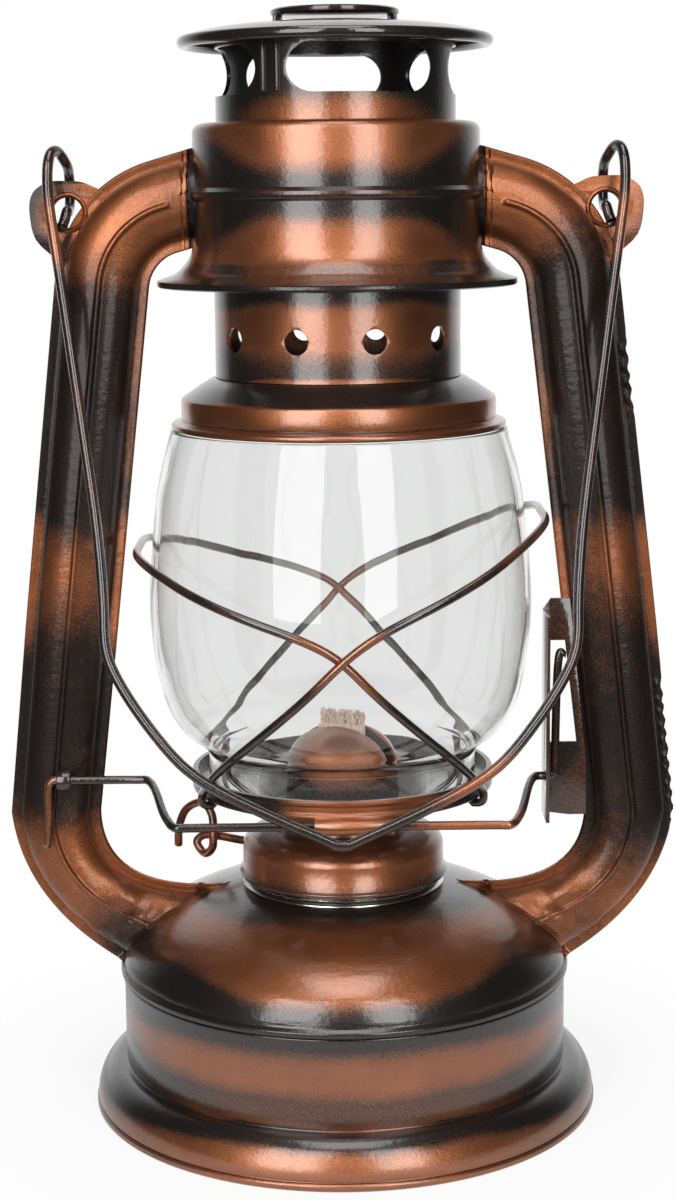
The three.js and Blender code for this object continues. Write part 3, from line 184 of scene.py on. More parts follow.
def placed(name):
    block = bpy.context.object
    block.name = name
    bpy.ops.object.transform_apply(location=True, rotation=True, scale=True)
    return block


def addBlock(name, size, place=(0, 0, 0), turn=0.0):
    startNew()
    bpy.ops.mesh.primitive_cube_add(size=1, location=Vector(place) * mm, rotation=(0, 0, turn))
    bpy.context.object.scale = Vector(size) * mm
    return placed(name)


def addRod(name, radius, length, place, turned=(0, 0, 0), sides=32):
    startNew()
    bpy.ops.mesh.primitive_cylinder_add(
        vertices=sides, radius=radius * mm, depth=length * mm, location=Vector(place) * mm, rotation=turned)
    return placed(name)


# A curve as a mesh object
def curveMesh(name, curve):
    piece = bpy.data.objects.new(name, curve)
    bpy.context.collection.objects.link(piece)
    pick(piece)
    bpy.ops.object.convert(target="MESH")
    return bpy.context.object


def polySpline(curve, points, closed=False):
    spline = curve.splines.new("POLY")
    spline.points.add(len(points) - 1)
    for point, (place, thick) in zip(spline.points, points):
        point.co = (*(Vector(place) * mm), 1)
        point.radius = thick
    spline.use_cyclic_u = closed


# A plate cut to outlines in X and Z, between two Y values
def cutPlate(name, outlines, near, far, rounding=0.0):
    curve = bpy.data.curves.new(name, "CURVE")
    curve.dimensions = "2D"
    curve.fill_mode = "BOTH"
    curve.extrude = (far - near) / 2 * mm - rounding * mm
    curve.bevel_depth = rounding * mm
    curve.bevel_resolution = 1
    curve.offset = -rounding * mm
    for outline in outlines:
        polySpline(curve, [((x, z, 0), 1) for x, z in outline], True)
    plate = curveMesh(name, curve)
    plate.data.transform(Matrix.Translation((0, (near + far) / 2 * mm, 0)) @ Matrix.Rotation(pi / 2, 4, "X"))
    with editing(plate):
        bpy.ops.mesh.remove_doubles(threshold=0.000002)
        bpy.ops.mesh.normals_make_consistent(inside=False)
    return smoothed(plate)


def ringPoints(radius, steps, x=0.0, z=0.0):
    return [(x + radius * cos(tau * i / steps), z + radius * sin(tau * i / steps))
            for i in range(steps)]


# The bends of a wire: a curve through its points whose speed follows their spacing
def smoothRoute(points, steps):
    points = [Vector(point) for point in points]
    points = [points[0] * 2 - points[1]] + points + [points[-1] * 2 - points[-2]]
    route = []
    for a, b, c, d in zip(points, points[1:], points[2:], points[3:]):
        before, along, after = [(q - p).length ** 0.5 for p, q in ((a, b), (b, c), (c, d))]
        leave = ((b - a) / before - (c - a) / (before + along) + (c - b) / along) * along
        reach = ((c - b) / along - (d - b) / (along + after) + (d - c) / after) * along
        for i in range(steps):
            t = i / steps
            route.append(b * (2 * t**3 - 3 * t**2 + 1) + leave * (t**3 - 2 * t**2 + t)
                         + c * (3 * t**2 - 2 * t**3) + reach * (t**3 - t**2))
    return route + [points[-2]]


# The same through points of radius and height
def smoothProfile(points, steps):
    return [(p.x, p.z) for p in smoothRoute([(r, 0, z) for r, z in points], steps)]


def relaxed(route, rounds):
    for _ in range(rounds):
        route = [route[0]] + [(a + b * 2 + c) / 4 for a, b, c in zip(route, route[1:], route[2:])] + [route[-1]]
    return route


def bentWire(name, routes, radius, detail=3, tip=0.7):
    curve = bpy.data.curves.new(name, "CURVE")
    curve.dimensions = "3D"
    curve.bevel_depth = radius * mm
    curve.bevel_resolution = detail
    curve.use_fill_caps = True
    for route in routes:
        first = (route[1] - route[0]).normalized() * radius * (1 - tip)
        last = (route[-2] - route[-1]).normalized() * radius * (1 - tip)
        stops = [(route[0], tip), (route[0] + first, 1)]
        stops += [(point, 1) for point in route[1:-1]]
        polySpline(curve, stops + [(route[-1] + last, 1), (route[-1], tip)])
    return smoothed(curveMesh(name, curve), 50)


def fineCopy(name, node, rounding=0.15):
    piece = frame["nodes"][node].copy()
    piece.data = piece.data.copy()
    piece.name = name
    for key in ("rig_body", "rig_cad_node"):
        if key in piece:
            del piece[key]
    piece.parent = None
    bpy.context.collection.objects.link(piece)
    with editing(piece):
        bpy.ops.mesh.remove_doubles(threshold=0.000002)
        bpy.ops.mesh.dissolve_limited(angle_limit=radians(2))
    if rounding:
        bevelled(piece, rounding)
    return smoothed(piece)


def moved(piece, matrix):
    piece.data.transform(matrix)
    if matrix.determinant() < 0:
        piece.data.flip_normals()
    return piece


def shiftBy(x, y, z):
    return Matrix.Translation(Vector((x, y, z)) * mm)


def turnBy(angle, axis="Z"):
    return Matrix.Rotation(angle, 4, axis)


# How black the airbrush left each point, from 0 for copper to 1, kept on the mesh
def sprayBy(piece, rule):
    spray = piece.data.attributes.new("spray", "FLOAT", "POINT")
    for vertex in piece.data.vertices:
        spray.data[vertex.index].value = min(1, max(0, rule(vertex.co / mm)))
    return piece


def between(value, low, high):
    share = min(1, max(0, (value - low) / (high - low)))
    return share * share * (3 - 2 * share)


# A value read off a list of (place, value) stops, kept as it is past the last one
def readStops(stops, place):
    for (low, before), (high, after) in zip(stops, stops[1:]):
        if place <= high:
            return before + (after - before) * max(0, place - low) / (high - low)
    return stops[-1][1]


def settle(piece, body, slot, material, *nodes):
    piece.data.materials.clear()
    piece.data.materials.append(material)
    for face in piece.data.polygons:
        face.material_index = 0
    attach(piece, body)
    if nodes:
        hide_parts(*nodes)


# Finishes
paint = Sizes(
    copper=(0.45, 0.148, 0.057), black=(0.013, 0.0098, 0.0088), flake=0.16, flakeSize=0.25, toneSize=9,
    speckleSize=0.3, speckle=0.9, softness=0.5, copperRoughness=0.33, blackRoughness=0.36, specular=0.25,
    peel=0.035, peelSize=1.1, grain=0.05, cloudSize=14, cloudRise=2.4, scratchDepth=0.3)


def newMaterial(name, **sockets):
    material = bpy.data.materials.new(name)
    material.use_nodes = True
    tree = material.node_tree
    shader = tree.nodes["Principled BSDF"]
    for socket, value in sockets.items():
        shader.inputs[socket.replace("_", " ")].default_value = value
    return material, tree, shader


# Inputs go by name or by number, and take a value or another node's output
def addNode(tree, kind, inputs=(), **settings):
    node = tree.nodes.new("ShaderNode" + kind)
    for key, value in settings.items():
        setattr(node, key, value)
    for key, value in inputs.items() if isinstance(inputs, dict) else enumerate(inputs):
        if hasattr(value, "is_linked"):
            tree.links.new(value, node.inputs[key])
        else:
            node.inputs[key].default_value = value
    return node


def addPlace(tree):
    where = addNode(tree, "TexCoord").outputs["Object"]
    return where, addNode(tree, "SeparateXYZ", [where]).outputs


def addNoise(tree, where, size, detail=2.0, stretch=(1, 1, 1)):
    mapping = addNode(tree, "Mapping", {"Vector": where, "Scale": [1 / (size * mm * s) for s in stretch]})
    return addNode(tree, "TexNoise", {"Vector": mapping.outputs["Vector"], "Scale": 1, "Detail": detail}).outputs["Fac"]


def addMath(tree, operation, *values):
    return addNode(tree, "Math", values, operation=operation).outputs[0]


def addRange(tree, value, low, high, toLow=0.0, toHigh=1.0, smooth=False):
    inputs = {"Value": value, "From Min": low, "From Max": high, "To Min": toLow, "To Max": toHigh}
    return addNode(tree, "MapRange", inputs,
                   interpolation_type="SMOOTHSTEP" if smooth else "LINEAR").outputs["Result"]


def addMix(tree, factor, first, second):
    colors = [value if hasattr(value, "is_linked") else (*value, 1) for value in (first, second)]
    return addNode(tree, "Mix", {"Factor": factor, "A": colors[0], "B": colors[1]}, data_type="RGBA").outputs["Result"]


def addBump(tree, shader, height, distance, under=None, sockets=("Normal", "Coat Normal")):
    inputs = {"Distance": distance * mm, "Strength": 1, "Height": height}
    if under:
        inputs["Normal"] = under
    normal = addNode(tree, "Bump", inputs).outputs["Normal"]
    for socket in sockets:
        tree.links.new(normal, shader.inputs[socket])
    return normal


def addStops(tree, height, stops):
    low, high = stops[0][0], stops[-1][0]
    ramp = addNode(tree, "ValToRGB", [addRange(tree, height, low * mm, high * mm)])
    bands = ramp.color_ramp.elements
    while len(bands) < len(stops):
        bands.new(0.5)
    for band, (z, black) in zip(bands, stops):
        band.position = (z - low) / (high - low)
        band.color = (black, black, black, 1)
    return ramp.outputs["Color"]


# Copper under black airbrush. Stops are heights in mm with how black it is there;
# without stops the mesh's own spray attribute says it. Scratches run down between two heights.
# The painted flank shade is a height, how far the black there widens on both flanks, where the flanks
# begin and end, and how much darker they are: painted shade that darkens both flanks.
def sprayedPaint(name, stops=None, wrinkles=0.0, scratched=None, paintedFlankShade=None, coatIor=1.75, coatRoughness=0.19):
    material, tree, shader = newMaterial(
        name, Coat_Weight=1.0, Coat_IOR=coatIor, Coat_Roughness=coatRoughness, Specular_IOR_Level=paint.specular)
    where, axes = addPlace(tree)
    if stops:
        cloud = addNoise(tree, where, paint.cloudSize, 2)
        height = addMath(tree, "MULTIPLY_ADD", cloud, paint.cloudRise * mm, axes["Z"])
        height = addMath(tree, "SUBTRACT", height, paint.cloudRise / 2 * mm)
        sprayed = addStops(tree, height, stops)
        if paintedFlankShade:
            centre, share, start, end, shade = paintedFlankShade
            flank = addMath(tree, "ABSOLUTE", axes["X"])
            widen = addRange(tree, flank, start * mm, end * mm, 1, 1 - share, True)
            rise = addMath(tree, "SUBTRACT", height, centre * mm)
            wider = addStops(tree, addMath(tree, "MULTIPLY_ADD", rise, widen, centre * mm), stops)
            sprayed = addMath(tree, "MAXIMUM", sprayed, wider)
            sprayed = addMath(tree, "ADD", sprayed, addRange(tree, flank, start * mm, end * mm, 0, shade, True))
    else:
        sprayed = addNode(tree, "Attribute", attribute_name="spray").outputs["Fac"]
    dots = addNoise(tree, where, paint.speckleSize, 1)
    dotted = addMath(tree, "MULTIPLY_ADD", dots, paint.speckle, sprayed)
    if scratched:
        around = addMath(tree, "ARCTAN2", axes["Y"], axes["X"])
        lines = addNode(tree, "CombineXYZ", {
            "X": addMath(tree, "MULTIPLY", around, 0.035), "Z": addMath(tree, "MULTIPLY", axes["Z"], 0.05)})
        scratch = addRange(tree, addNoise(tree, lines.outputs[0], 0.3, 2), 0.58, 0.66)
        low, high = scratched
        above = addRange(tree, axes["Z"], low * mm, (low + 1) * mm)
        below = addRange(tree, axes["Z"], (high - 1) * mm, high * mm, 1, 0)
        scratch = addMath(tree, "MULTIPLY", scratch, addMath(tree, "MULTIPLY", above, below))
        dotted = addMath(tree, "MULTIPLY_ADD", scratch, -paint.scratchDepth, dotted)
    middle = 0.5 + paint.speckle / 2
    black = addRange(tree, dotted, middle - paint.softness, middle + paint.softness, smooth=True)
    flake = addNoise(tree, where, paint.flakeSize, 1)
    tone = addNoise(tree, where, paint.toneSize, 3)
    deep, light = [[channel * share for channel in paint.copper] for share in (1 - paint.flake * 2, 1 + paint.flake)]
    mottle = addMath(tree, "MULTIPLY_ADD", flake, 0.6, addMath(tree, "MULTIPLY", tone, 0.4))
    copper = addMix(tree, addRange(tree, mottle, 0.3, 0.7), deep, light)
    rough = addRange(tree, black, 0, 1, paint.copperRoughness, paint.blackRoughness)
    tree.links.new(addMix(tree, black, copper, paint.black), shader.inputs["Base Color"])
    tree.links.new(addRange(tree, black, 0, 1, 0.95, 0.4), shader.inputs["Metallic"])
    tree.links.new(addMath(tree, "MULTIPLY_ADD", flake, 0.1, rough), shader.inputs["Roughness"])
    gloss = addBump(tree, shader, addNoise(tree, where, paint.peelSize, 2), paint.peel)
    if wrinkles:
        gloss = addBump(tree, shader, addNoise(tree, where, 3.0, 3, (3, 3, 0.55)), wrinkles, gloss)
    addBump(tree, shader, dots, paint.grain, gloss, ("Normal",))
    return material


def plainFinish(name, color, metallic, roughness, grainSize, stretch, bump, tint=0.25):
    material, tree, shader = newMaterial(name, Metallic=metallic)
    where = addPlace(tree)[0]
    fine = addNoise(tree, where, grainSize, 3, (1, 1, stretch))
    broad = addNoise(tree, where, grainSize * 14, 3)
    mixed = addMath(tree, "MULTIPLY_ADD", fine, 0.5, addMath(tree, "MULTIPLY", broad, 0.5))
    dull = [channel * (1 - tint) for channel in color]
    tree.links.new(addMix(tree, addRange(tree, mixed, 0.35, 0.65), dull, color), shader.inputs["Base Color"])
    tree.links.new(addRange(tree, mixed, 0.3, 0.7, roughness * 1.25, roughness * 0.85), shader.inputs["Roughness"])
    addBump(tree, shader, fine, bump)
    return material


bareSteel = plainFinish("bareSteel", (0.74, 0.73, 0.71), 1, 0.24, 0.4, 8, 0.01)
springSteel = plainFinish("springSteel", (0.5, 0.49, 0.47), 1, 0.32, 0.4, 1, 0.01)
brass = plainFinish("agedBrass", (0.55, 0.38, 0.16), 1, 0.34, 0.5, 6, 0.01, 0.4)
sealRubber = plainFinish("sealRubber", (0.02, 0.02, 0.02), 0, 0.75, 0.5, 1, 0.03)
wirePaint = sprayedPaint("wirePaint", coatRoughness=0.1)
tubePaint = sprayedPaint("tubePaint", wrinkles=0.06, coatIor=1.3, coatRoughness=0.14)


def clearGlass():
    material, tree, shader = newMaterial(
        "clearGlass", Base_Color=(0.9, 0.905, 0.9, 1), Transmission_Weight=1.0, IOR=1.5, Roughness=0.0)
    addBump(tree, shader, addNoise(tree, addPlace(tree)[0], 22, 2, (1, 1, 1.6)), 0.35)
    return material


def wickCotton(angle):
    material, tree, shader = newMaterial("wickCotton", Roughness=0.9, Sheen_Weight=0.3)
    turned = addNode(tree, "Mapping", {"Vector": addPlace(tree)[0], "Rotation": (0, 0, -angle)})
    where = turned.outputs["Vector"]
    ribs = addNode(tree, "TexWave", {"Vector": where, "Scale": 480, "Distortion": 1.2}, bands_direction="X")
    picks = addNode(tree, "TexWave", {"Vector": where, "Scale": 620}, bands_direction="Z")
    weave = addMath(tree, "MULTIPLY", ribs.outputs["Fac"], picks.outputs["Fac"])
    cloth = addMix(tree, weave, (0.62, 0.47, 0.36), (0.9, 0.76, 0.64))
    soiled = addMix(tree, addRange(tree, addNoise(tree, where, 4, 4), 0.6, 0.85), cloth, (0.55, 0.43, 0.31))
    tree.links.new(soiled, shader.inputs["Base Color"])
    addBump(tree, shader, weave, 0.15)
    return material


def collarMetal():
    material, tree, shader = newMaterial("collarMetal", Roughness=0.22)
    where, axes = addPlace(tree)
    # Painted shade: the collar's top, in the narrow gap under the skirt's rim, is painted black, with a ragged edge
    shadeHeight = addMath(tree, "MULTIPLY_ADD", addNoise(tree, where, 1.2, 3), 0.0006, axes["Z"])
    black = addRange(tree, shadeHeight, 0.0523, 0.0525)
    tree.links.new(addMix(tree, black, (0.76, 0.73, 0.66), (0.014, 0.012, 0.011)), shader.inputs["Base Color"])
    tree.links.new(addRange(tree, black, 0, 1, 1, 0.3), shader.inputs["Metallic"])
    addBump(tree, shader, addNoise(tree, where, 0.5, 3), 0.02)
    return material


print("finishes made")


# Fount
fount = Sizes(
    drumRadius=50.5, drumTop=31.0, footRadius=57.5, footHeight=10.4, hemInner=54.9, hemHeight=1.8, seam=0.35,
    seamDepth=0.8, flare=0.7, beadRadius=51.3, beadFoot=31.2, beadTop=32.8, domeRadius=50.4, domeRise=20, mouth=22.5,
    wall=0.8,
    drumStops=[(0, 0.15), (1.9, 0.05), (2.3, 0.35), (2.9, 0.1), (5.6, 0.08), (7.4, 0.4), (8.6, 0.85), (9.4, 1),
               (10.5, 1), (11.2, 0.4), (12.4, 0.66), (16.6, 0.72), (18.8, 0.35), (20.6, 0.04), (23.6, 0.02),
               (25.8, 0.4), (28.4, 0.92), (31.6, 1)],
    domeStops=[(31, 1), (35, 1), (36.8, 0.75), (38.6, 0.3), (40.4, 0.05), (46.4, 0.03), (47.8, 0.3),
               (48.8, 0.75), (49.8, 1), (52, 1)])
outer, rim, hem, foot, wall = fount.drumRadius, fount.footRadius, fount.hemHeight, fount.footHeight, fount.wall
flareFoot, centre = hem + fount.seam, outer + fount.flare
run, rise = rim - 0.3 - centre, foot - flareFoot
drum = spunShell("drum", [
    (fount.hemInner, 0), (rim - 0.5, 0), (rim, 0.5), (rim, hem - 0.4), (rim - 0.35, hem), (rim - fount.seamDepth, hem),
    (rim - fount.seamDepth, flareFoot), *quarterArc((centre, flareFoot), run, rise, 0, 0.97, 26),
    (centre - 0.25, foot), (outer - 0.05, foot + 0.05), (outer - 0.25, foot + 0.35), (outer, foot + 0.9), (outer, 20),
    (outer, 29.4), (outer + 0.35, 30.2), (outer + 0.35, fount.drumTop), (outer - wall, fount.drumTop),
    (outer - wall, foot - wall), *quarterArc((centre, flareFoot), run - wall, rise - wall, 1, 0, 14),
    (fount.hemInner, hem)], 144, 0.12)
# The drum's flanks are darkened with painted shade
settle(drum, "lantern_frame", "copper_paint",
       sprayedPaint("drumPaint", fount.drumStops, paintedFlankShade=(21, 0.1, 24, 52, 0.35)), "tank_drum")

bottomDish = Sizes(rim=55.6, foot=2.3, dish=2.2, edge=46, ring=41, wall=0.8)
rim, dish, edge, ring, wall = bottomDish.rim, bottomDish.dish, bottomDish.edge, bottomDish.ring, bottomDish.wall
bottom = spunShell("bottomPlate", [
    (0, dish), (ring, dish), (ring + 1, dish - 0.5), (edge - 1, 0.3), (edge, 0), (rim, 0), (rim, wall), (edge, wall),
    (ring, wall + dish), (0, wall + dish)], 112, 0.15, base=bottomDish.foot)
settle(bottom, "lantern_frame", "copper_paint",
       sprayedPaint("bottomPaint", [(2, 0.9), (3, 0.6), (4, 0.15), (5.4, 0.1)]), "tank_bottom")

bead, foot, top, radius, rise = fount.beadRadius, fount.beadFoot, fount.beadTop, fount.domeRadius, fount.domeRise
edgeShare = acos(fount.mouth / radius) / (pi / 2)
dome = spunShell("dome", [
    (radius - wall, foot), (bead - 0.5, foot - 0.1), (bead, foot + 0.35), (bead, top - 0.35), (bead - 0.35, top),
    *quarterArc((0, top), radius, rise, 0.012, edgeShare, 34),
    *quarterArc((0, top), radius - wall, rise - wall, edgeShare, 0, 18)], 144, 0.1)
# The dome's flanks are darkened with painted shade
settle(dome, "lantern_frame", "copper_paint",
       sprayedPaint("domePaint", fount.domeStops, 0.12, paintedFlankShade=(31, 0.36, 14, 44, 0.55)), "tank_dome")

filler = Sizes(
    reach=37, radius=8, bore=6.9, foot=41, top=55, threads=9, pitch=0.6, threadDepth=0.35, sealBore=5.6, sealFoot=55.3,
    sealTop=56, capRadius=9.6, capBore=8.4, capFoot=50.5, capCeiling=56.3, capTop=57.5, grips=12, gripRadius=0.8)
toRear = shiftBy(0, filler.reach, 0)
neck = moved(spunShell("fillerNeck", [
    (filler.bore, filler.foot), (filler.radius, filler.foot),
    *[(filler.radius - filler.threadDepth * (i % 2), filler.capFoot - 1.2 + i * filler.pitch)
      for i in range(filler.threads)],
    (filler.radius - 0.2, filler.top), (filler.bore, filler.top)], 64), toRear)
settle(neck, "lantern_frame", "bare_steel", bareSteel, "filler_neck")
gasket = moved(spunShell("fillerSeal", [
    (filler.sealBore, filler.sealFoot), (filler.radius, filler.sealFoot), (filler.radius, filler.sealTop),
    (filler.sealBore, filler.sealTop)], 64, 0.15), toRear)
settle(gasket, "fuel_cap", "seal_rubber", sealRubber, "filler_gasket")
rim, bore, top = filler.capRadius, filler.capBore, filler.capTop
cap = spunShell("fillerCap", [
    (bore, filler.capFoot), (rim, filler.capFoot), (rim, top - 0.9), (rim - 0.3, top - 0.4), (rim - 1.1, top - 0.1),
    (7.2, top - 0.1), (6.8, top - 0.5), (0, top - 0.3), (0, filler.capCeiling), (bore, filler.capCeiling)], 96)
grips = [addRod(f"grip{i}", filler.gripRadius, 9, (x, y, 53), sides=20)
         for i, (x, y) in enumerate(ringPoints(rim + 0.2, filler.grips))]
cap = moved(smoothed(bevelled(cutAway(cap, *grips), 0.12)), toRear)
settle(cap, "fuel_cap", "black_paint", sprayedPaint("capPaint", [(50, 1), (55.5, 1), (56.8, 0.75), (58, 0.5)]),
       "filler_cap")
print("fount done")


# Burner
burner = Sizes(seat=52.696, turn=radians(158))
collar = spunShell("burnerCollar", [
    (18.5, -6.2), (21.74, -6.2), (21.74, -1.7), (22.7, -1.8), (23, -1.6), (22.95, -1.4), (22.2, -0.75), (21.9, -0.6),
    (21.8, -0.1), (18.5, 0)], 128, base=burner.seat)
settle(collar, "lantern_frame", "bare_steel", collarMetal(), "burner_collar")
settle(fineCopy("burnerCup", "burner_cup"), "lantern_frame", "brass", brass, "burner_cup")

skirt = Sizes(
    rim=23.7, wall=22.9, sheet=0.8, top=6.8, shoulder=16.5, rise=4.2, neck=14.2, flange=15.5, flangeTop=19.3,
    stops=[(52, 0.85), (54.4, 0.55), (56, 0.2), (60.5, 0.05), (63.4, 0.35), (64.4, 0.8), (66, 0.5), (70.6, 0.3),
           (71.2, 0.7), (72.4, 0.9)])
rim, wall, neck, flange, sheet = skirt.rim, skirt.wall, skirt.neck, skirt.flange, skirt.sheet
centre, run, rise, top = (skirt.shoulder, skirt.top), wall - skirt.shoulder, skirt.rise, skirt.flangeTop
burnerSkirt = spunShell("burnerSkirt", [
    (wall - sheet, 0.3), (rim - 0.3, 0.3), (rim, 0.6), (rim, 1.2), (rim - 0.3, 1.5), (wall, 2.3),
    *quarterArc(centre, run, rise, 0, 1, 16), (neck + 0.7, 11.2), (neck + 0.1, 11.7), (neck, 12.6), (neck, 18),
    (neck + 0.3, 18.4), (flange, 18.5), (flange, top), (neck - sheet, top), (neck - sheet, 11),
    *quarterArc(centre, run - sheet, rise - sheet, 1, 0, 8)], 112, 0.12, base=burner.seat)

winderAt = Sizes(offset=4.7, height=1.4, tilt=radians(4), radius=1, bore=1.4)
side = burner.turn - pi / 2
toWinder = (shiftBy(winderAt.offset * cos(side), winderAt.offset * sin(side), burner.seat + winderAt.height)
            @ turnBy(burner.turn) @ turnBy(-winderAt.tilt, "Y"))
bore = moved(addRod("winderBore", winderAt.bore, 40, (20, 0, 0), (0, pi / 2, 0)), toWinder)
burnerSkirt = smoothed(cutAway(burnerSkirt, bore))
# The skirt's flanks are darkened with painted shade
settle(burnerSkirt, "lantern_frame", "copper_paint",
       sprayedPaint("skirtPaint", skirt.stops, paintedFlankShade=(64, 0.4, 6, 20, 0.2)), "burner_skirt")

spreader = Sizes(
    foot=72.296, base=14, baseHeight=2, neck=12.3, radius=13, rise=9.6, top=87.6, sheet=0.8, slot=5.4, slotDepth=8.6,
    stops=[(72, 0.9), (73, 0.25), (74.4, 0.15), (75, 0.9), (76.4, 0.9), (78, 0.1), (79.6, 0), (81, 0.55),
           (82.4, 0.1), (84, 0.2), (87.6, 0.45)])
base, neck, radius, rise, sheet = spreader.base, spreader.neck, spreader.radius, spreader.rise, spreader.sheet
foot, ledge, top = spreader.foot, spreader.foot + spreader.baseHeight, spreader.top
waist = top - rise
flame = spunShell("slottedDome", [
    (neck - sheet, foot), (base, foot), (base, ledge - 0.3), (base - 0.4, ledge), (neck, ledge + 0.8),
    *quarterArc((0, waist), radius, rise, -1 / 6, 0.985, 30), (0, top), (0, top - sheet),
    *quarterArc((0, waist), radius - sheet, rise - sheet, 0.985, -1 / 6, 20), (neck - sheet, ledge)],
    112, closed=False)
with editing(flame):
    bpy.ops.mesh.fill_holes(sides=0)
    bpy.ops.mesh.normals_make_consistent(inside=False)
slotBlock = addBlock("slotBlock", (40, spreader.slot, spreader.slotDepth * 2), (0, 0, top), burner.turn)
flame = smoothed(bevelled(cutAway(flame, slotBlock), 0.15))


def flameSpray(p):
    reach = hypot(p.x, p.y)
    outside = hypot(reach / spreader.radius, max(0, p.z - waist) / spreader.rise)
    if p.z < waist:
        outside = reach / (spreader.neck if p.z > ledge + 0.2 else spreader.base)
    return 1.0 if outside < 0.965 else readStops(spreader.stops, p.z) + 0.45 * between(p.x, -4, -11)


sprayBy(flame, flameSpray)
settle(flame, "lantern_frame", "copper_paint", sprayedPaint("flamePaint"), "flame_spreader")

settle(fineCopy("wickTube", "wick_tube"), "lantern_frame", "brass", brass, "wick_tube")
for node in ("spur_wheel_inner", "spur_wheel_outer"):
    settle(fineCopy(node.replace("_", "."), node, 0.1), "winder", "brass", brass, node)

wickCut = Sizes(width=10.6, thickness=2.4, foot=16, top=91, fray=3.4, threads=220, threadRadius=0.13)
width, thickness, cutTop = wickCut.width, wickCut.thickness, wickCut.top - wickCut.fray
strand = random.Random(7)


# The threads go down into the tube with the wick, so none leans out past the strip
def withinWick(p):
    x, y = width / 2 - wickCut.threadRadius, thickness / 2 - wickCut.threadRadius
    return Vector((max(-x, min(x, p.x)), max(-y, min(y, p.y)), p.z))


wick = addBlock("wickStrip", (width, thickness, cutTop - wickCut.foot), (0, 0, (cutTop + wickCut.foot) / 2))
wick = smoothed(bevelled(wick, 0.5, 3))
threads = []
for _ in range(wickCut.threads):
    x = strand.uniform(-0.47, 0.47) * width
    y = strand.uniform(-0.42, 0.42) * thickness
    root = Vector((x, y, cutTop - 0.8))
    rise = strand.uniform(0.35, 1) ** 0.7 * wickCut.fray + 0.7
    lean = Vector((strand.gauss(0, 0.7), strand.gauss(0, 0.6), 0))
    tip = root + Vector((0, 0, rise)) + lean
    tip.z = min(tip.z, wickCut.top - 0.1)
    curl = Vector((strand.uniform(-0.5, 0.5), strand.uniform(-0.5, 0.5), rise * 0.6))
    threads.append([withinWick(p) for p in smoothRoute([root, root + curl, tip], 3)])
fray = bentWire("wickFray", threads, wickCut.threadRadius, 1, 0.35)
wick = moved(joinPieces(wick, fray), turnBy(burner.turn))
settle(wick, "wick_strip", "wick_cotton", wickCotton(burner.turn), "wick")

winderRoute = [
    (-7, 0, 0), (0, 0, 0), (29, 0, 0), (34, 0, 0), (37.75, 0, -0.55), (39, 0.417, -2.2), (36.5, 1.25, -4.4),
    (34, 2.5, -2.2), (34, 2.5, 1.1), (35, 1.5, 5.39), (37.7, 0.75, 7.7), (42.2, 0, 5.39), (44, 0, 0.77), (44, 0, -4.2)]
winder = moved(bentWire("winder", [smoothRoute(winderRoute, 8)], winderAt.radius), toWinder)
sprayBy(winder, lambda p: 0.45 + 0.7 * noise.noise(p * 0.22))
settle(winder, "winder", "painted_wire", wirePaint, "winder_wire")
print("burner done")


# Globe carrier
carrier = Sizes(
    seat=72.296, bore=14.4, ring=17, step=2.9, run=2.3, radius=33.5, bead=0.5, beadHeight=1.1, drop=1.4, rise=2.0,
    wall=0.8, vents=14, ventLength=6.6, ventWidth=1.8, ventReach=24.4)
bore, ring, under, flat = carrier.bore, carrier.ring, carrier.step, carrier.step + carrier.wall
slope, radius = ring + carrier.run, carrier.radius
foot, head = under - carrier.drop, flat + carrier.rise
edge, inner = radius + carrier.bead, radius - carrier.wall
low, high = foot + carrier.beadHeight, head - carrier.beadHeight
plate = spunShell("globePlate", [
    (bore, 0), (ring, 0), (ring + 0.5, 0.3), (slope - 0.3, under - 0.2), (slope, under), (inner, under), (inner, foot),
    (edge - 0.25, foot - 0.05), (edge, foot + 0.25), (edge, low - 0.25), (edge - 0.2, low), (radius, low + 0.4),
    (radius, high - 0.4), (edge - 0.2, high), (edge, high + 0.25), (edge, head - 0.25), (edge - 0.25, head),
    (inner, head), (inner, flat), (slope - 0.5, flat), (ring - 0.2, 0.85), (bore, 0.8)], 128, base=carrier.seat)
vents = []
for i in range(carrier.vents):
    vent = bevelled(addBlock(f"vent{i}", (carrier.ventLength, carrier.ventWidth, 4)), 0.6, 3)
    toVent = turnBy(tau * i / carrier.vents) @ shiftBy(carrier.ventReach, 0, carrier.seat + under + 0.4)
    vents.append(moved(vent, toVent))
plate = bevelled(cutAway(plate, *vents), 0.12)


def plateSpray(p):
    onRim = hypot(p.x, p.y) > carrier.radius - 0.4
    front = between(p.y, -22, -31) * between(abs(p.x - 5), 22, 12)
    return 1 - 0.95 * front * onRim + 0.2 * noise.noise(p * 0.2)


sleeve = Sizes(length=17, place=(2.4, -33.5, 72.496), bore=1.25, play=0.45, wall=0.6)
sleeveRings = [[(reach * y + copysign(sleeve.play, y), reach * z) for y, z in ringPoints(1, 48)]
               for reach in (sleeve.bore + sleeve.wall, sleeve.bore)]
tube = cutPlate("crankSleeve", sleeveRings, -sleeve.length / 2, sleeve.length / 2, 0.1)
moved(tube, shiftBy(*sleeve.place) @ turnBy(pi / 2))
settle(smoothed(tube), "globe_carrier", "copper_paint",
       sprayedPaint("sleevePaint", [(70, 0.3), (72, 0), (74, 0.05), (75, 0.4)]))
settle(smoothed(sprayBy(plate, plateSpray)), "globe_carrier", "dark_plate", sprayedPaint("platePaint"), "globe_plate")

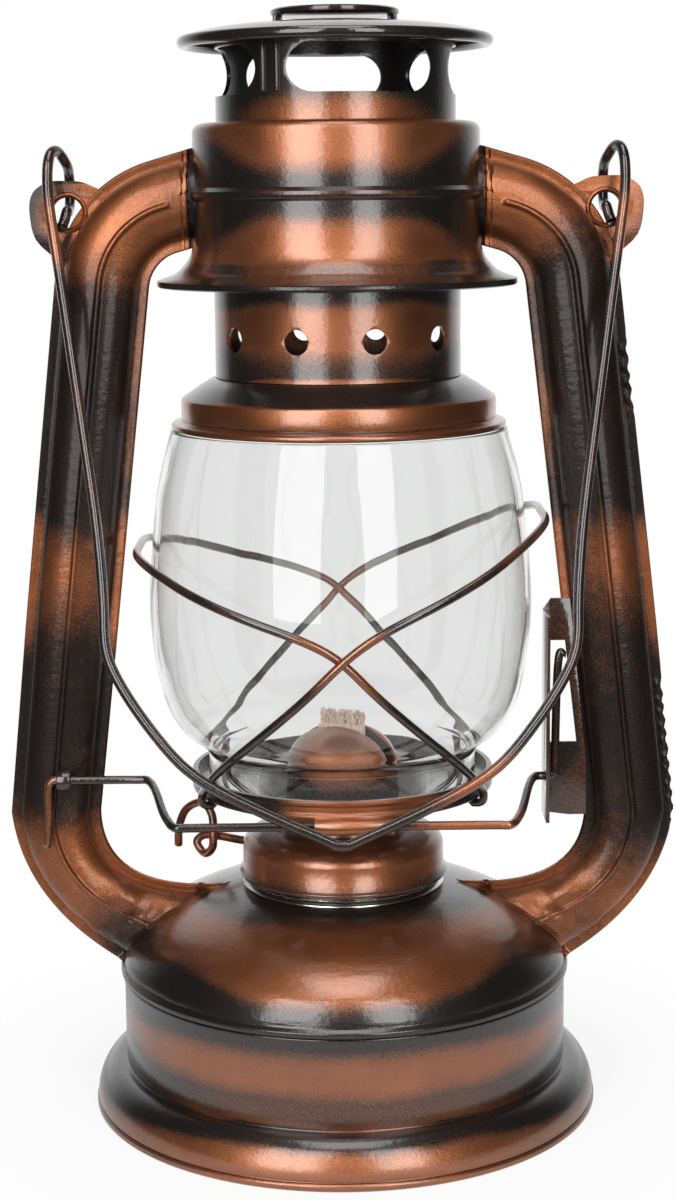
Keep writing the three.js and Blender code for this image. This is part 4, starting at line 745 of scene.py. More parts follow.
glass = Sizes(foot=76.296, top=154.7, radius=42.7, footRadius=30.2, wall=1.6, shares=[
    (0.707, 0.075), (0.745, 0.1), (0.838, 0.138), (0.925, 0.216), (0.977, 0.342), (0.998, 0.45), (1, 0.53),
    (0.986, 0.648), (0.948, 0.829), (0.888, 0.97), (0.871, 1)])
foot, height, radius = glass.foot, glass.top - glass.foot, glass.footRadius
outside = smoothProfile([(r * glass.radius, foot + z * height) for r, z in glass.shares], 7)
globe = spunShell("globe", [(radius - glass.wall, foot), (radius, foot), *outside,
                            *[(r - glass.wall, z) for r, z in reversed(outside)]], 128, 0.3)
settle(globe, "globe_carrier", "clear_glass", clearGlass(), "globe")
globe.visible_shadow = False  # Lets the lamps light the burner through the glass

guards = Sizes(
    radius=0.95, side=44.6, waist=45.6, gap=2.2, crossing=110.9, leftRise=17.8, rightRise=24.7, swell=2.4, tuck=3.4,
    rim=35.25, endHeight=75.196, under=72.546,
    shares=[(0, 0, 1), (16, 0.75, 0.985), (32, 0.95, 0.89), (50, 0.9, 0.66), (66, 0.5, 0.44), (80, 0.2, 0.24),
            (90, 0, 0)],
    endShares=[(99, 0.06, 0.22), (120, 0.34, 0.6), (136, 0.66, 0.82), (148, 0.96, 0.95)])


def guardHoop(name, side, rise, waist):
    start, rim, crossing, under, end = guards.side, guards.rim, guards.crossing, guards.under, guards.endHeight
    half = [(degrees, start + (waist - start) * degrees / 90 + guards.swell * swell, crossing + rise * lift)
            for degrees, swell, lift in guards.shares]
    half += [(degrees, waist + (rim - waist) * inward, crossing + (end - crossing) * drop)
             for degrees, inward, drop in guards.endShares]
    half += [(152, rim, end), (153, rim - 0.475, under + 0.475), (153, rim - guards.tuck / 2, under),
             (153, rim - guards.tuck, under)]
    route = []
    for degrees, reach, z in [(-d, r, z) for d, r, z in reversed(half[1:])] + half:
        angle = radians(degrees)
        route.append((side * reach * cos(angle), -reach * sin(angle), z))
    return bentWire(name, [relaxed(smoothRoute(route, 9), 24)], guards.radius)


def guardSpray(p):
    crossing = between(abs(p.x), 16, 5) * between(abs(p.z - guards.crossing), 9, 3)
    return 0.95 - 0.55 * crossing - 0.25 * between(p.z, 118, 132) + 0.35 * noise.noise(p * 0.12)


for name, node, side, rise, waist in (
        ("guardLeft", "guard_hoop_left", -1, guards.leftRise, guards.waist),
        ("guardRight", "guard_hoop_right", 1, guards.rightRise, guards.waist + guards.gap)):
    hoop = sprayBy(guardHoop(name, side, rise, waist), guardSpray)
    settle(hoop, "globe_carrier", "painted_wire", wirePaint, node)
print("globe carrier done")


# Lift crank, its bracket and its eyelet
crank = Sizes(
    radius=0.95, axisY=-9.2, axisZ=76.996, reach=24.3, drop=4.5, inner=37, outer=43.5, arm=47.5, lean=0.7, rise=28.4,
    hook=1.1, tail=66, tailDrop=15.5, bend=1.2, eyelet=62.3)
y, z, b, hook = crank.axisY, crank.axisZ, crank.bend, crank.hook
inner, outer, arm, tail = crank.inner, crank.outer, crank.arm, crank.tail
lowY, lowZ = y - crank.reach, z - crank.drop
stepY, stepZ = lowY + crank.reach * 0.2, lowZ + crank.drop * 0.2
head, armTop = z + crank.rise, arm + crank.lean
crankRoute = [
    (-tail - b / 2, y, z - crank.tailDrop), (-tail, y, z - crank.tailDrop / 2), (-tail + b / 4, y, z - b),
    (-tail + b, y, z), (-crank.eyelet, y, z), (-outer - b * 2, y, z), (-outer, y - b / 2, z),
    (-inner - b, stepY, stepZ), (-inner + b, lowY, lowZ), (-inner + b * 3, lowY, lowZ), (0, lowY, lowZ),
    (inner - b * 3, lowY, lowZ), (inner - b, lowY, lowZ), (inner + b, stepY, stepZ), (outer - b / 2, y - b / 2, z),
    (outer + b, y, z), (arm - b, y, z), (arm - b / 4, y, z + b / 4), (arm, y, z + b), (arm, y, z + b * 3),
    (armTop, y, head - hook * 1.4), (armTop + hook * 0.4, y, head - hook * 0.2), (armTop + hook, y, head - hook)]
liftCrank = bentWire("liftCrank", [smoothRoute(crankRoute, 6)], crank.radius)
sprayBy(liftCrank, lambda p: 0.98 - 0.9 * between(p.y, -26, -32) * between(p.x, 8, 24) - 0.5 * between(p.x, -60, -64)
        + 0.3 * noise.noise(p * 0.2))
settle(liftCrank, "crank", "painted_wire", wirePaint, "lift_crank")

limb = Sizes(x=65.5, foot=67.6, lean=radians(6.64), halfWidth=10.3)


def limbX(height):
    return limb.x - (height - limb.foot) * tan(limb.lean)


bracket = Sizes(
    inner=45.3, lap=1.8, foot=65.996, footRise=0.8, head=115.996, stripDrop=2.5, depth=12.2, windowFoot=82.996,
    windowHead=106.396, windowEdge=0.4, back=-1.15, wall=0.8, armHole=1.35)
foot, low, high, head = bracket.foot, bracket.windowFoot, bracket.windowHead, bracket.head
atFoot, atLow, atHigh, atHead = [limbX(z) - limb.halfWidth + bracket.lap for z in (foot, low, high, head)]
start, lap, back, wall = bracket.inner, bracket.lap, bracket.back, bracket.wall
inner, windowEdge = start + wall, lap + bracket.windowEdge
stripFoot, stripHead = foot + bracket.footRise, head - bracket.stripDrop
bracketPlate = cutPlate("bracket", [
    [(start, stripFoot), (start + (atFoot - start) * 0.5, foot), (atFoot - lap, foot), (atLow, low - lap * 2),
     (atHead, head), (atHead - lap * 2.4, head), (start, stripHead)],
    [(inner, low), (inner, high), (atHigh - windowEdge, high), (atLow - windowEdge, low)]], back - wall, back, 0.12)
middle, depth = inner - wall / 2, bracket.depth + back
strip = addBlock("strip", (wall, depth, stripHead - stripFoot),
                 (middle, back - depth / 2, (stripFoot + stripHead) / 2))
armHole = addRod("armHole", bracket.armHole, 4, (middle, crank.axisY, crank.axisZ), (0, pi / 2, 0))
bracketPiece = smoothed(joinPieces(bracketPlate, bevelled(cutAway(strip, armHole), 0.15)))
sprayBy(bracketPiece, lambda p: 0.8 + 0.5 * noise.noise(p * 0.1))
settle(bracketPiece, "lantern_frame", "black_paint", wirePaint, "lever_bracket")
eyelet = sprayBy(fineCopy("crankEyelet", "crank_eyelet", 0.25), lambda p: 0.9)
settle(eyelet, "lantern_frame", "black_paint", wirePaint, "crank_eyelet")
print("crank done")


# Side tubes
tubes = Sizes(
    halfWidth=10.3, depth=7.1, flange=2.2, sheet=0.7, rib=0.8, ribWidth=0.55, ribEnd=6, seam=0.3, startX=27,
    startZ=206.3, slope=radians(16), elbow=19, toe=(26, 50), heel=(50.2, 31.5), runIn=4, kneeDrop=4,
    footThin=0.12, endLip=1.0, endLipAt=32.7, endLipWidth=1.2, footLip=0.9, footLipWidth=1.4, dent=1.1, dentReach=24,
    crimp=0.55, crimpEvery=3.4, rows=270, endRows=26, endReach=8)
# The hood's outside, radius by height above its foot
hoodFoot = 185.8
hoodOutside = [(0, 39.5), (1.5, 39.5), (2.58, 36.3), (4.3, 34), (6.36, 32.4), (8.6, 31.6), (18.3, 31.6), (19.1, 32.2),
               (20.7, 32.2), (21.5, 31.2), (33, 31.2)]


# A ring is where the inner and the outer edge are, in X and Z, and how far the foot has thinned there
def tubeRings():
    direction = Vector((cos(tubes.slope), -sin(tubes.slope)))
    start = Vector((tubes.startX, tubes.startZ))
    bend = pi / 2 - limb.lean - tubes.slope
    down = Vector((sin(limb.lean), -cos(limb.lean)))
    across = start.x - limbX(start.y)
    corner = start + direction * (-across / (direction.x + direction.y * tan(limb.lean)))
    middle = corner - direction * tubes.elbow * tan(bend / 2)
    centre = middle + Vector((direction.y, -direction.x)) * tubes.elbow
    rings = []

    def addRing(place, heading):
        outward = Vector((-heading.y, heading.x)) * tubes.halfWidth
        rings.append((place - outward, place + outward, 0))

    for i in range(9):
        addRing(start + (middle - start) * i / 9, direction)
    for i in range(25):
        heading = Matrix.Rotation(-bend * i / 24, 2) @ direction
        addRing(centre + Vector((-heading.y, heading.x)) * tubes.elbow, heading)
    bendEnd = (rings[-1][0].y + rings[-1][1].y) / 2
    for i in range(1, 30):
        height = limb.foot + (middle.y - limb.foot) * (1 - 0.7 * i / 29)
        if height < bendEnd - 0.5:
            addRing(Vector((limbX(height), height)), down)
    return rings


def bezier(a, b, c, t):
    return a * (1 - t) ** 2 + b * 2 * t * (1 - t) + c * t * t


def footRings(last):
    innerStart = Vector((limb.x - tubes.halfWidth, limb.foot))
    outerStart = Vector((limb.x + tubes.halfWidth * 0.97, limb.foot))
    toe, heel = Vector(tubes.toe), Vector(tubes.heel)
    innerKnee = Vector((innerStart.x, toe.y - tubes.flange))
    outerKnee = Vector((outerStart.x - tubes.flange, (limb.foot + heel.y) / 2 - tubes.kneeDrop))
    rings = [(last[0].lerp(innerStart, i / 15), last[1].lerp(outerStart, i / 15), 0) for i in range(1, 16)]
    rings += [(bezier(innerStart, innerKnee, toe, i / 32), bezier(outerStart, outerKnee, heel, i / 32), i / 32)
              for i in range(1, 33)]
    inward = Vector((heel.y - toe.y, toe.x - heel.x)).normalized() * tubes.runIn
    return rings + [(toe + inward, heel + inward, 1)]


# Across a half: places from the inner edge to the outer edge, with how far each stands out
def halfSection():
    edge, bulge = tubes.halfWidth, tubes.halfWidth - tubes.flange
    places = [(-edge, 0.55), (-edge + 0.25, 0.85), (-edge + 0.8, 0.85), (-edge + 1.3, 0.7), (-bulge - 0.3, 0.68)]
    for degrees in (1, 4, 9, 15, 22, 30, 39, 49, 59, 68, 75):
        angle = radians(degrees)
        places.append((-bulge * cos(angle), max(tubes.sheet, sin(angle) ** 0.75 * tubes.depth)))
    for x in (-1.6, -1.15, -0.8, -0.6, -0.45, -0.3, -0.15, 0):
        places.append((x, sqrt(1 - (x / bulge) ** 2) ** 0.75 * tubes.depth))
    return places + [(-x, depth) for x, depth in reversed(places[:-1])]


rings = tubeRings()
rings += footRings(rings[-1])
section = halfSection()
lengths = [0.0]
for before, after in zip(rings, rings[1:]):
    lengths.append(lengths[-1] + ((before[0] + before[1]) / 2 - (after[0] + after[1]) / 2).length)


def tubePoint(along, x, depth):
    along = min(max(along, 0), lengths[-1] - 1e-6)
    k = max(i for i, length in enumerate(lengths) if length <= along)
    share = (along - lengths[k]) / (lengths[k + 1] - lengths[k])
    (inner, outer, thin), (nextInner, nextOuter, nextThin) = rings[k:k + 2]
    place = inner.lerp(nextInner, share).lerp(outer.lerp(nextOuter, share), (x / tubes.halfWidth + 1) / 2)
    thinned = 1 - tubes.footThin * (thin + (nextThin - thin) * share)
    return Vector((place.x, -depth * thinned - tubes.seam / 2, place.y))


def outsideHood(p):
    return hypot(p.x, p.y) - readStops(hoodOutside, p.z - hoodFoot)


def outsideFount(p):
    reach, rise = hypot(p.x, p.y), p.z - fount.beadTop
    if rise < 0:
        return reach - fount.beadRadius
    return (hypot(reach / fount.domeRadius, rise / fount.domeRise) - 1) * 20


def findEdge(low, high, isOut):
    for _ in range(26):
        middle = (low + high) / 2
        low, high = (low, middle) if isOut(middle) else (middle, high)
    return high


def halfTube():
    startNew()
    rows, ends, fine = tubes.rows, tubes.endRows, tubes.endReach
    bpy.ops.mesh.primitive_grid_add(x_subdivisions=len(section) - 1, y_subdivisions=rows - 1, size=2)
    half = bpy.context.object
    half.name = "tubeRightFront"
    places = sorted(half.data.vertices, key=lambda vertex: (round(vertex.co.x, 5), round(vertex.co.y, 5)))
    for column, (x, depth) in enumerate(section):
        first = findEdge(0, 40, lambda along: outsideHood(tubePoint(along, x, depth)) > -0.25)
        last = lengths[-1] - findEdge(0, 60, lambda back: outsideFount(tubePoint(lengths[-1] - back, x, depth)) > -0.2)
        # Rows stand closer over the first and last millimetres
        steps = [fine * i / ends for i in range(ends)]
        steps += [fine + (last - first - 2 * fine) * i / (rows - 2 * ends) for i in range(rows - 2 * ends)]
        steps += [last - first - fine + fine * i / (ends - 1) for i in range(ends)]
        for row, step in enumerate(steps):
            along = first + step
            reach = abs(tubePoint(along, x, depth).x - tubes.endLipAt)
            lip = tubes.endLip * between(reach, tubes.endLipWidth * 0.62, tubes.endLipWidth * 0.4)
            lip += tubes.footLip * between(last - along, tubes.footLipWidth, 0.1)
            lip += tubes.rib * exp(-((x / tubes.ribWidth) ** 4)) * between(step, tubes.ribEnd - 1.5, tubes.ribEnd)
            point = tubePoint(along, x, depth + lip)
            near = between(last - along, tubes.dentReach, tubes.dentReach * 0.3) * between(depth, 1, 3)
            point.y -= tubes.dent * near * (noise.noise(point * 0.17) * 1.4 + 0.5 * noise.noise(point * 0.4))
            places[column * rows + row].co = point * mm
    with editing(half):
        bpy.ops.mesh.normals_make_consistent(inside=False)
    if sum(face.normal.y for face in half.data.polygons) > 0:
        half.data.flip_normals()
    return smoothed(modified(half, "SOLIDIFY", thickness=0.6 * mm, offset=-1), 40)


ear = Sizes(x=58.6, z=202.2, hole=3.25, ring=1.2, ringRise=0.75, top=209, edge=67, sheet=0.7)


def earPiece():
    x, z, hole, top, edge = ear.x, ear.z, ear.hole, ear.top, ear.edge
    middle, flange, seam = limbX(z), tubes.flange, tubes.seam / 2
    corners = [(middle - flange * 2, z + hole), (x - hole * 2.2, top - ear.ring * 1.6), (x - hole, top - 0.3), (x, top),
               (x + hole * 1.3, top - 0.2), (edge - 1.1, top - 2.2), (edge - 0.2, z + 2.5), (edge - 0.1, z - 0.5),
               (edge - 1.3, z - hole * 1.8), (middle + tubes.halfWidth, z - hole * 3.4)]
    rim = smoothProfile(corners, 4) + [(middle + flange, z - hole * 3)]
    face, outer, rise = ear.sheet + seam, hole + ear.ring, ear.ringRise
    plate = cutPlate("ear", [rim, ringPoints(hole, 40, x, z)], -face, -seam, 0.12)
    ring = spunShell("earRing", [
        (hole, seam), (outer, seam + 0.3), (outer, face), (outer - 0.3, face + rise * 0.8),
        (hole + ear.ring / 2, face + rise), (hole + 0.25, face + rise * 0.7), (hole, face)], 48)
    return joinPieces(plate, moved(ring, shiftBy(x, 0, z) @ turnBy(pi / 2, "X")))


# The right tube's outer flange is crimped at its knee and below its ear
def crimped(half):
    for vertex in half.data.vertices:
        p = vertex.co / mm
        outside = between((p.x - limbX(p.z)) / tubes.halfWidth, 0.8, 0.9)
        zone = between(p.z, 60, 66) * between(p.z, 100, 94) + between(p.z, 156, 160) * between(p.z, 176, 170)
        wave = 0.5 + 0.5 * sin(tau * p.z / tubes.crimpEvery + 2 * noise.noise(p * 0.2))
        depth = tubes.crimp * outside * zone * wave
        vertex.co.x -= depth * mm
        vertex.co.y += copysign(depth * 0.6, p.y) * mm


def tubeSpray(p):
    x, z, left = abs(p.x), p.z, p.x < 0
    cloud = noise.noise(p * 0.06) * 0.35 + noise.noise(p * 0.5) * 0.12
    fromHole = hypot(x - ear.x, z - ear.z)
    if fromHole < ear.hole + ear.ring + 0.1:
        return 0.12 + cloud
    if abs(p.y) < 1.2 and fromHole < 12 and x > 55:
        return (0.95 if left else 0.45) + cloud
    across = (x - limbX(z)) / tubes.halfWidth
    upper = between(z, 176 if left else 182, 200)
    low = between(z, 76, 56) if left else between(z, 66, 46)
    onFlange = between(abs(across), 0.78, 0.84)
    lift = 0 if left else 3  # The right tube's copper patch sits higher
    patch = between(z, 102 + lift, 124 + lift) * between(z, 144 + lift, 124 + lift) * between(abs(across), 0.78, 0.6)
    if not left:
        patch *= 0.6 + 0.25 * between(across, -0.1, 0.1)
    edgePatch = between(z, 98 - lift, 114 - lift) * between(z, 144 - lift, 130 - lift) * onFlange
    innerEdge = onFlange * between(z, 134, 148) * (across < 0)
    black = 1.1 - 0.84 * upper - 0.68 * patch - 0.74 * low - 0.85 * edgePatch - 0.4 * innerEdge * (1 - upper)
    black -= 0.25 * between(abs(across), 0.1, 0.05) * patch  # The rib
    if z > 190:
        black += 0.7 * between(x, 32.4, 31.6) - 0.3 * between(abs(x - tubes.endLipAt - 0.2), 0.6, 0.3)
    if left:
        black += 0.5 * between(x, 62, 52) * between(z, 50, 38)
    else:
        black += 0.45 * upper * between(across, -0.9, 0.4) * between(z, 212, 198)
    return black + cloud


front = joinPieces(halfTube(), earPiece())
smoothed(front, 40)
halves = [(front, "right_tube_front")]
for name, node, x, y in (("tubeRightRear", "right_tube_rear", 1, -1), ("tubeLeftFront", "left_tube_front", -1, 1),
                         ("tubeLeftRear", "left_tube_rear", -1, -1)):
    half = front.copy()
    half.data = front.data.copy()
    bpy.context.collection.objects.link(half)
    half.name = name
    halves.append((moved(half, Matrix.Diagonal((x, y, 1, 1))), node))
for half, node in halves:
    if node.startswith("right"):
        crimped(half)
    settle(sprayBy(half, tubeSpray), "lantern_frame", "copper_paint", tubePaint, node)
print("side tubes done")


# Bail
bail = Sizes(
    radius=1.15, pivot=207.25, span=60.6, waist=50, foot=69.6, lean=33.6, standOff=7, eye=5.05, crest=9.2,
    tailFoot=198.7, gap=2.7, crown=0.997,
    strandShares=[(1, 0.08), (0.81, 0.176), (0.6, 0.285), (0.38, 0.4), (0.16, 0.52), (0.04, 0.63), (0, 0.7)],
    curveShares=[(0.95, 0.745), (0.81, 0.82), (0.63, 0.89), (0.27, 0.957), (0.1, 0.983)])


def strandAt(x, share):
    return (x, -bail.standOff - bail.lean * share, bail.pivot - (bail.pivot - bail.foot) * share)


def eyeAt(degrees, radius, x):
    angle = radians(degrees)
    return (x, radius * sin(angle), bail.pivot - radius * cos(angle))


def bailRoute():
    r, eye, crest, x, waist, foot = bail.radius, bail.eye, bail.crest, ear.x, bail.waist, bail.tailFoot
    side = [(x + r, -bail.gap - r, foot), (x + r / 2, -bail.gap, foot + r * 1.5)]
    side += [eyeAt(degrees, eye, x) for degrees in (-22, 0, 32, 64, 98, 130, 154)]
    side += [eyeAt(176, eye * 1.14, x + r * 0.3), eyeAt(196, crest * 0.92, x + r * 1.5), eyeAt(214, crest, x + r * 2.4),
             eyeAt(236, crest * 0.98, x + r * 2.8), (bail.span + r * 1.2, -bail.standOff - r / 2, bail.pivot - r)]
    side += [strandAt(waist + (bail.span - waist) * out, share) for out, share in bail.strandShares]
    side += [strandAt(waist * out, share) for out, share in bail.curveShares]
    left = [(-x, y, z) for x, y, z in side]
    return relaxed(smoothRoute(left + [strandAt(0, bail.crown)] + side[::-1], 7), 4)


def bailSpray(p):
    black = 0.95 + 0.3 * noise.noise(p * 0.08) - 0.75 * between(p.x, 10, 30) * between(p.z, 95, 80)
    return black - 0.6 * between(abs(p.z - 198), 10, 4) * between(p.y, -4, -7)


handle = sprayBy(bentWire("bail", [bailRoute()], bail.radius, 4), bailSpray)
settle(handle, "handle", "painted_wire", wirePaint, "bail")
print("bail done")


# Hood
hood = Sizes(
    lip=39.5, flare=8.6, lower=31.6, upper=31.2, beadAt=19.9, bead=0.8, height=35, shoulder=2, bore=27.4, wall=0.8,
    flareShares=[(1, 0.175), (0.8, 0.235), (0.6, 0.3), (0.42, 0.39), (0.3, 0.5), (0.18, 0.62), (0.1, 0.74),
                 (0.035, 0.88), (0, 1)],
    stops=[(185.8, 1), (187.0, 1), (187.8, 0.62), (191.0, 0.55), (191.8, 0.1), (192.6, 0), (196.6, 0.02),
           (199.0, 0.32), (201.4, 0.8), (203.2, 1), (205.3, 0.9), (206.2, 0.72), (207, 1), (208.8, 0.92),
           (211.2, 0.55), (214.0, 0.1), (216, 0), (220, 0), (221, 0.15)])
lip, lower, upper, wall, bend = hood.lip, hood.lower, hood.upper, hood.wall, hood.shoulder
bead, middle, top, shoulder = hood.bead, hood.beadAt, hood.height, hood.height - hood.shoulder
hoodFlare = smoothProfile([(lower + (lip - lower) * r, hood.flare * z) for r, z in hood.flareShares], 3)
hoodPiece = spunShell("hood", [
    (lip - 1.2, 0.2), (lip - 0.7, 0), (lip - 0.15, 0.25), (lip, 0.7), (lip - 0.1, 1.2), *hoodFlare,
    (lower, middle - bead * 1.8), (lower + 0.35, middle - bead * 1.25), (lower + 0.72, middle - bead * 0.7),
    (lower + 0.8, middle), (lower + 0.68, middle + bead * 0.7), (upper + 0.45, middle + bead * 1.25),
    (upper, middle + bead * 1.8), *quarterArc((upper - bend, shoulder), bend, bend, 0, 1, 8), (hood.bore, top),
    (hood.bore, top - wall), (upper - bend, top - wall), (upper - wall, shoulder), (upper - wall, middle),
    (lower - wall, hood.flare), *[(r - 0.75, z - 0.3) for r, z in reversed(hoodFlare)]], 144, base=hoodFoot)
# The hood's flanks are darkened with painted shade
settle(hoodPiece, "lantern_frame", "copper_paint",
       sprayedPaint("hoodPaint", hood.stops, scratched=(187.2, 191.4), paintedFlankShade=(205.7, 0.36, 12, 30, 0.6)), "hood")
print("hood done")


# Chimney
chimney = Sizes(
    foot=155, crownRim=37, rimHeight=1.4, crown=34.8, wallTop=6.4, crownHeight=11.2, radius=27, tubeFoot=166.5,
    tubeTop=216.8, wall=0.7, holes=10, holeRadius=2.7, holeZ=175, holeTurn=radians(-19.2),
    crownStops=[(154.6, 0.3), (155.4, 0.05), (156.5, 0.1), (157.1, 0.9), (157.7, 0.25), (158.4, 0), (161, 0),
                (161.7, 0.1), (162.2, 0.9), (162.8, 1), (167, 1)],
    tubeStops=[(166, 0.2), (166.9, 0.25), (167.5, 0.85), (170, 0.75), (172.4, 0.45), (174, 0.05), (180.4, 0),
               (182, 0.4), (184, 0.95), (218, 1)])
rim, rimTop, outer, wallTop, top = (
    chimney.crownRim, chimney.rimHeight, chimney.crown, chimney.wallTop, chimney.crownHeight)
crown = spunShell("crown", [
    (33.2, 0), (rim - 0.4, 0), (rim, 0.4), (rim, rimTop - 0.4), (rim - 0.4, rimTop), (outer + 0.7, rimTop + 0.15),
    (outer - 0.15, 1.9), (outer, 2.5), (outer, wallTop - 0.3), (outer - 0.25, wallTop + 0.3),
    (outer - 1.1, wallTop + 0.85), (31, 9.1), (28, 10.9), (chimney.radius, top), (26, top), (26, top + 3),
    (25.2, top + 3), (25.2, top - 0.8), (33, wallTop), (33.2, wallTop - 1)], 144, 0.1, base=chimney.foot)
settle(crown, "chimney", "copper_paint", sprayedPaint("crownPaint", chimney.crownStops), "crown")

outer, inner, foot, top = chimney.radius, chimney.radius - chimney.wall, chimney.tubeFoot, chimney.tubeTop
tubePiece = spunShell("chimneyTube", [
    (inner, foot), (outer + 0.1, foot - 0.2),
    *[(outer, z) for z in (167.1, 168.5, 170, 171.5, 172.6, 173.8, 175, 176.2, 177.4, 178.5, 180, 184, 190, 200, top)],
    *[(inner, z) for z in (top, 200, 180, 178.5, 175, 171.5, 170)]], 160)
drills = []
for i in range(chimney.holes):
    angle = chimney.holeTurn + tau * i / chimney.holes - pi / 2
    place = (outer * cos(angle), outer * sin(angle), chimney.holeZ)
    drills.append(addRod(f"drill{i}", chimney.holeRadius, 6, place, (pi / 2, 0, angle + pi / 2)))
tubePiece = smoothed(bevelled(cutAway(tubePiece, *drills), 0.18))
# The chimney tube's flanks are darkened with painted shade
settle(tubePiece, "chimney", "copper_paint",
       sprayedPaint("chimneyPaint", chimney.tubeStops, paintedFlankShade=(177, 0.1, 13, 27, 0.5)), "chimney_tube")

ventRing = Sizes(
    radius=26, wall=0.7, foot=207, top=239.7, slots=4, slotZ=231.5, slotHeight=10.2, slotLength=31,
    turn=radians(13.5), ridgeWidth=1.1, spacing=3.4,
    stops=[(207, 0.4), (221.2, 0.15), (222.6, 0.22), (224.8, 0.48), (226.4, 0.8), (228.5, 1), (240, 1)])
radius, foot, top = ventRing.radius, ventRing.foot, ventRing.top
ventCollar = spunShell("ventCollar", [
    *[(radius, foot + (top - foot) * i / 24) for i in range(25)],
    *[(radius - ventRing.wall, top - (top - foot) * i / 24) for i in range(25)]], 160)
half, reach = ventRing.slotHeight / 2, (ventRing.slotLength - ventRing.slotHeight) / 2
slotOutline = [(reach + half * sin(pi * i / 16), -half * cos(pi * i / 16)) for i in range(17)]
slotOutline += [(-x, -z) for x, z in slotOutline]
slots = []
for i in range(ventRing.slots):
    slot = cutPlate(f"ventSlot{i}", [slotOutline], -radius - 3, -radius / 3)
    slots.append(moved(slot, turnBy(ventRing.turn + pi / 2 * i) @ shiftBy(0, 0, ventRing.slotZ)))
ventCollar = bevelled(cutAway(ventCollar, *slots), 0.2)
ridgeFoot = ventRing.slotZ - half
for side in (-1, 1):
    ridge = addBlock("ridge", (ventRing.ridgeWidth, 1.2, top - ridgeFoot),
                     (side * ventRing.spacing / 2, -radius + 0.1, (top + ridgeFoot) / 2))
    ridge = moved(bevelled(ridge, 0.45, 3), turnBy(ventRing.turn - pi / 4))
    ventCollar = joinPieces(ventCollar, ridge)
# The vent collar's flanks are darkened with painted shade
settle(smoothed(ventCollar), "chimney", "black_paint",
       sprayedPaint("ventPaint", ventRing.stops, paintedFlankShade=(228, 0.3, 8, 25, 0.6)), "vent_collar")

# The cap's dished top is only partly black: its copper is partly paint and partly a painted reflection of the pale pink
# sheen there
capDish = Sizes(radius=34.1, rimTop=239.2, roll=1.3, rise=3, flat=240,
                shares=[(0.9, 0.2), (0.8, 0.45), (0.5, 0.82), (0.2, 0.97)],
                stops=[(236, 1), (239.6, 1), (240.4, 0.75), (241.2, 0.45), (242.5, 0.35)])
radius, roll, rimTop, rise = capDish.radius, capDish.roll, capDish.rimTop, capDish.rise
capTop = smoothProfile([(radius - roll, rimTop), *[(radius * r, rimTop + rise * z) for r, z in capDish.shares],
                        (0.001, rimTop + rise)], 5)
capTop[-1] = (0, rimTop + rise)
chimneyCap = spunShell("chimneyCap", [
    (0, capDish.flat), (27.6, capDish.flat), (radius - roll * 2, rimTop - 0.6), (radius - roll * 2, rimTop - roll),
    *quarterArc((radius - roll, rimTop - roll), roll, roll, -2, 1, 18), *capTop[1:]], 144)
settle(chimneyCap, "chimney", "black_paint", sprayedPaint("topPaint", capDish.stops, coatRoughness=0.09),
       "chimney_cap")

knob = Sizes(radius=13.9, thick=1.6, top=245, leg=12.3, legWidth=2, legDepth=5.4, legFoot=241.5)
radius, foot, top, legFoot = knob.radius, knob.top - knob.thick, knob.top, knob.legFoot
knobPlate = spunShell("liftKnob", [
    (0, foot), (radius - 0.6, foot), (radius - 0.15, foot + 0.2), (radius, foot + 0.6), (radius - 0.1, top - 0.55),
    (radius - 0.5, top - 0.25), (radius * 0.66, top - 0.3), (radius * 0.6, top - 0.25), (radius * 0.55, top - 0.03),
    (radius * 0.3, top), (0, top)], 96)
for side in (-1, 1):
    leg = addBlock("leg", (knob.legWidth, knob.legDepth, foot + 0.5 - legFoot),
                   (side * knob.leg, 0, (foot + 0.5 + legFoot) / 2))
    knobPlate = joinPieces(knobPlate, bevelled(leg, 0.3, 3))
settle(smoothed(knobPlate), "chimney", "black_paint",
       sprayedPaint("knobPaint", [(241, 0.9), (244, 1), (245.2, 0.95)], coatRoughness=0.09), "lift_knob")

washer = spunShell("springWasher", [(27.1, 188), (30, 188), (30, 189), (27.1, 189)], 112, 0.15)
settle(washer, "chimney", "bare_steel", bareSteel, "spring_washer")
# The spring is drawn as an upper and a lower half
spring = Sizes(wire=0.6, radius=28.9, turns=5, foot=189.9, head=219.1)
for name, start, end, bodies in (("springUpper", 0.5, 1, ("globe_carrier", "lantern_frame")),
                                 ("springLower", 0, 0.5, ("chimney", "globe_carrier"))):
    coil, rise = [], spring.head - spring.foot
    for i in range(81):
        share = start + (end - start) * i / 80
        angle = share * spring.turns * tau
        coil.append(Vector((spring.radius * cos(angle), spring.radius * sin(angle),
                            spring.foot + rise * share)))
    piece = bentWire(name, [coil], spring.wire, 2)
    piece.data.materials.append(springSteel)
    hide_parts("chimney_spring")
    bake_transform(piece)
print("chimney done")


# Floor, light and camera
startNew()
bpy.ops.mesh.primitive_plane_add(size=12)
floor = bpy.context.object
floor.name = "floor"
floorMaterial = bpy.data.materials.new("paleFloor")
floorMaterial.use_nodes = True
tree = floorMaterial.node_tree
tree.nodes.clear()
path = addNode(tree, "LightPath").outputs
where, axes = addPlace(tree)
away = addNode(tree, "VectorMath", [where], operation="LENGTH").outputs["Value"]
clear = addRange(tree, away, 0.05, 0.13, 0.86, 1.0, True)
direct = addMath(tree, "MAXIMUM", path["Is Camera Ray"], path["Is Transmission Ray"])
seen = addMath(tree, "MAXIMUM", addMath(tree, "MULTIPLY", direct, clear), path["Is Glossy Ray"])
behind = addRange(tree, addMath(tree, "DIVIDE", axes["Y"], away), 0.35, 0.92, 0.0, 1.0, True)
near = addRange(tree, away, 0.15, 0.26, 0.62, 0.045, True)  # Dark further in front
backdrop = addMath(tree, "MAXIMUM", behind, near)
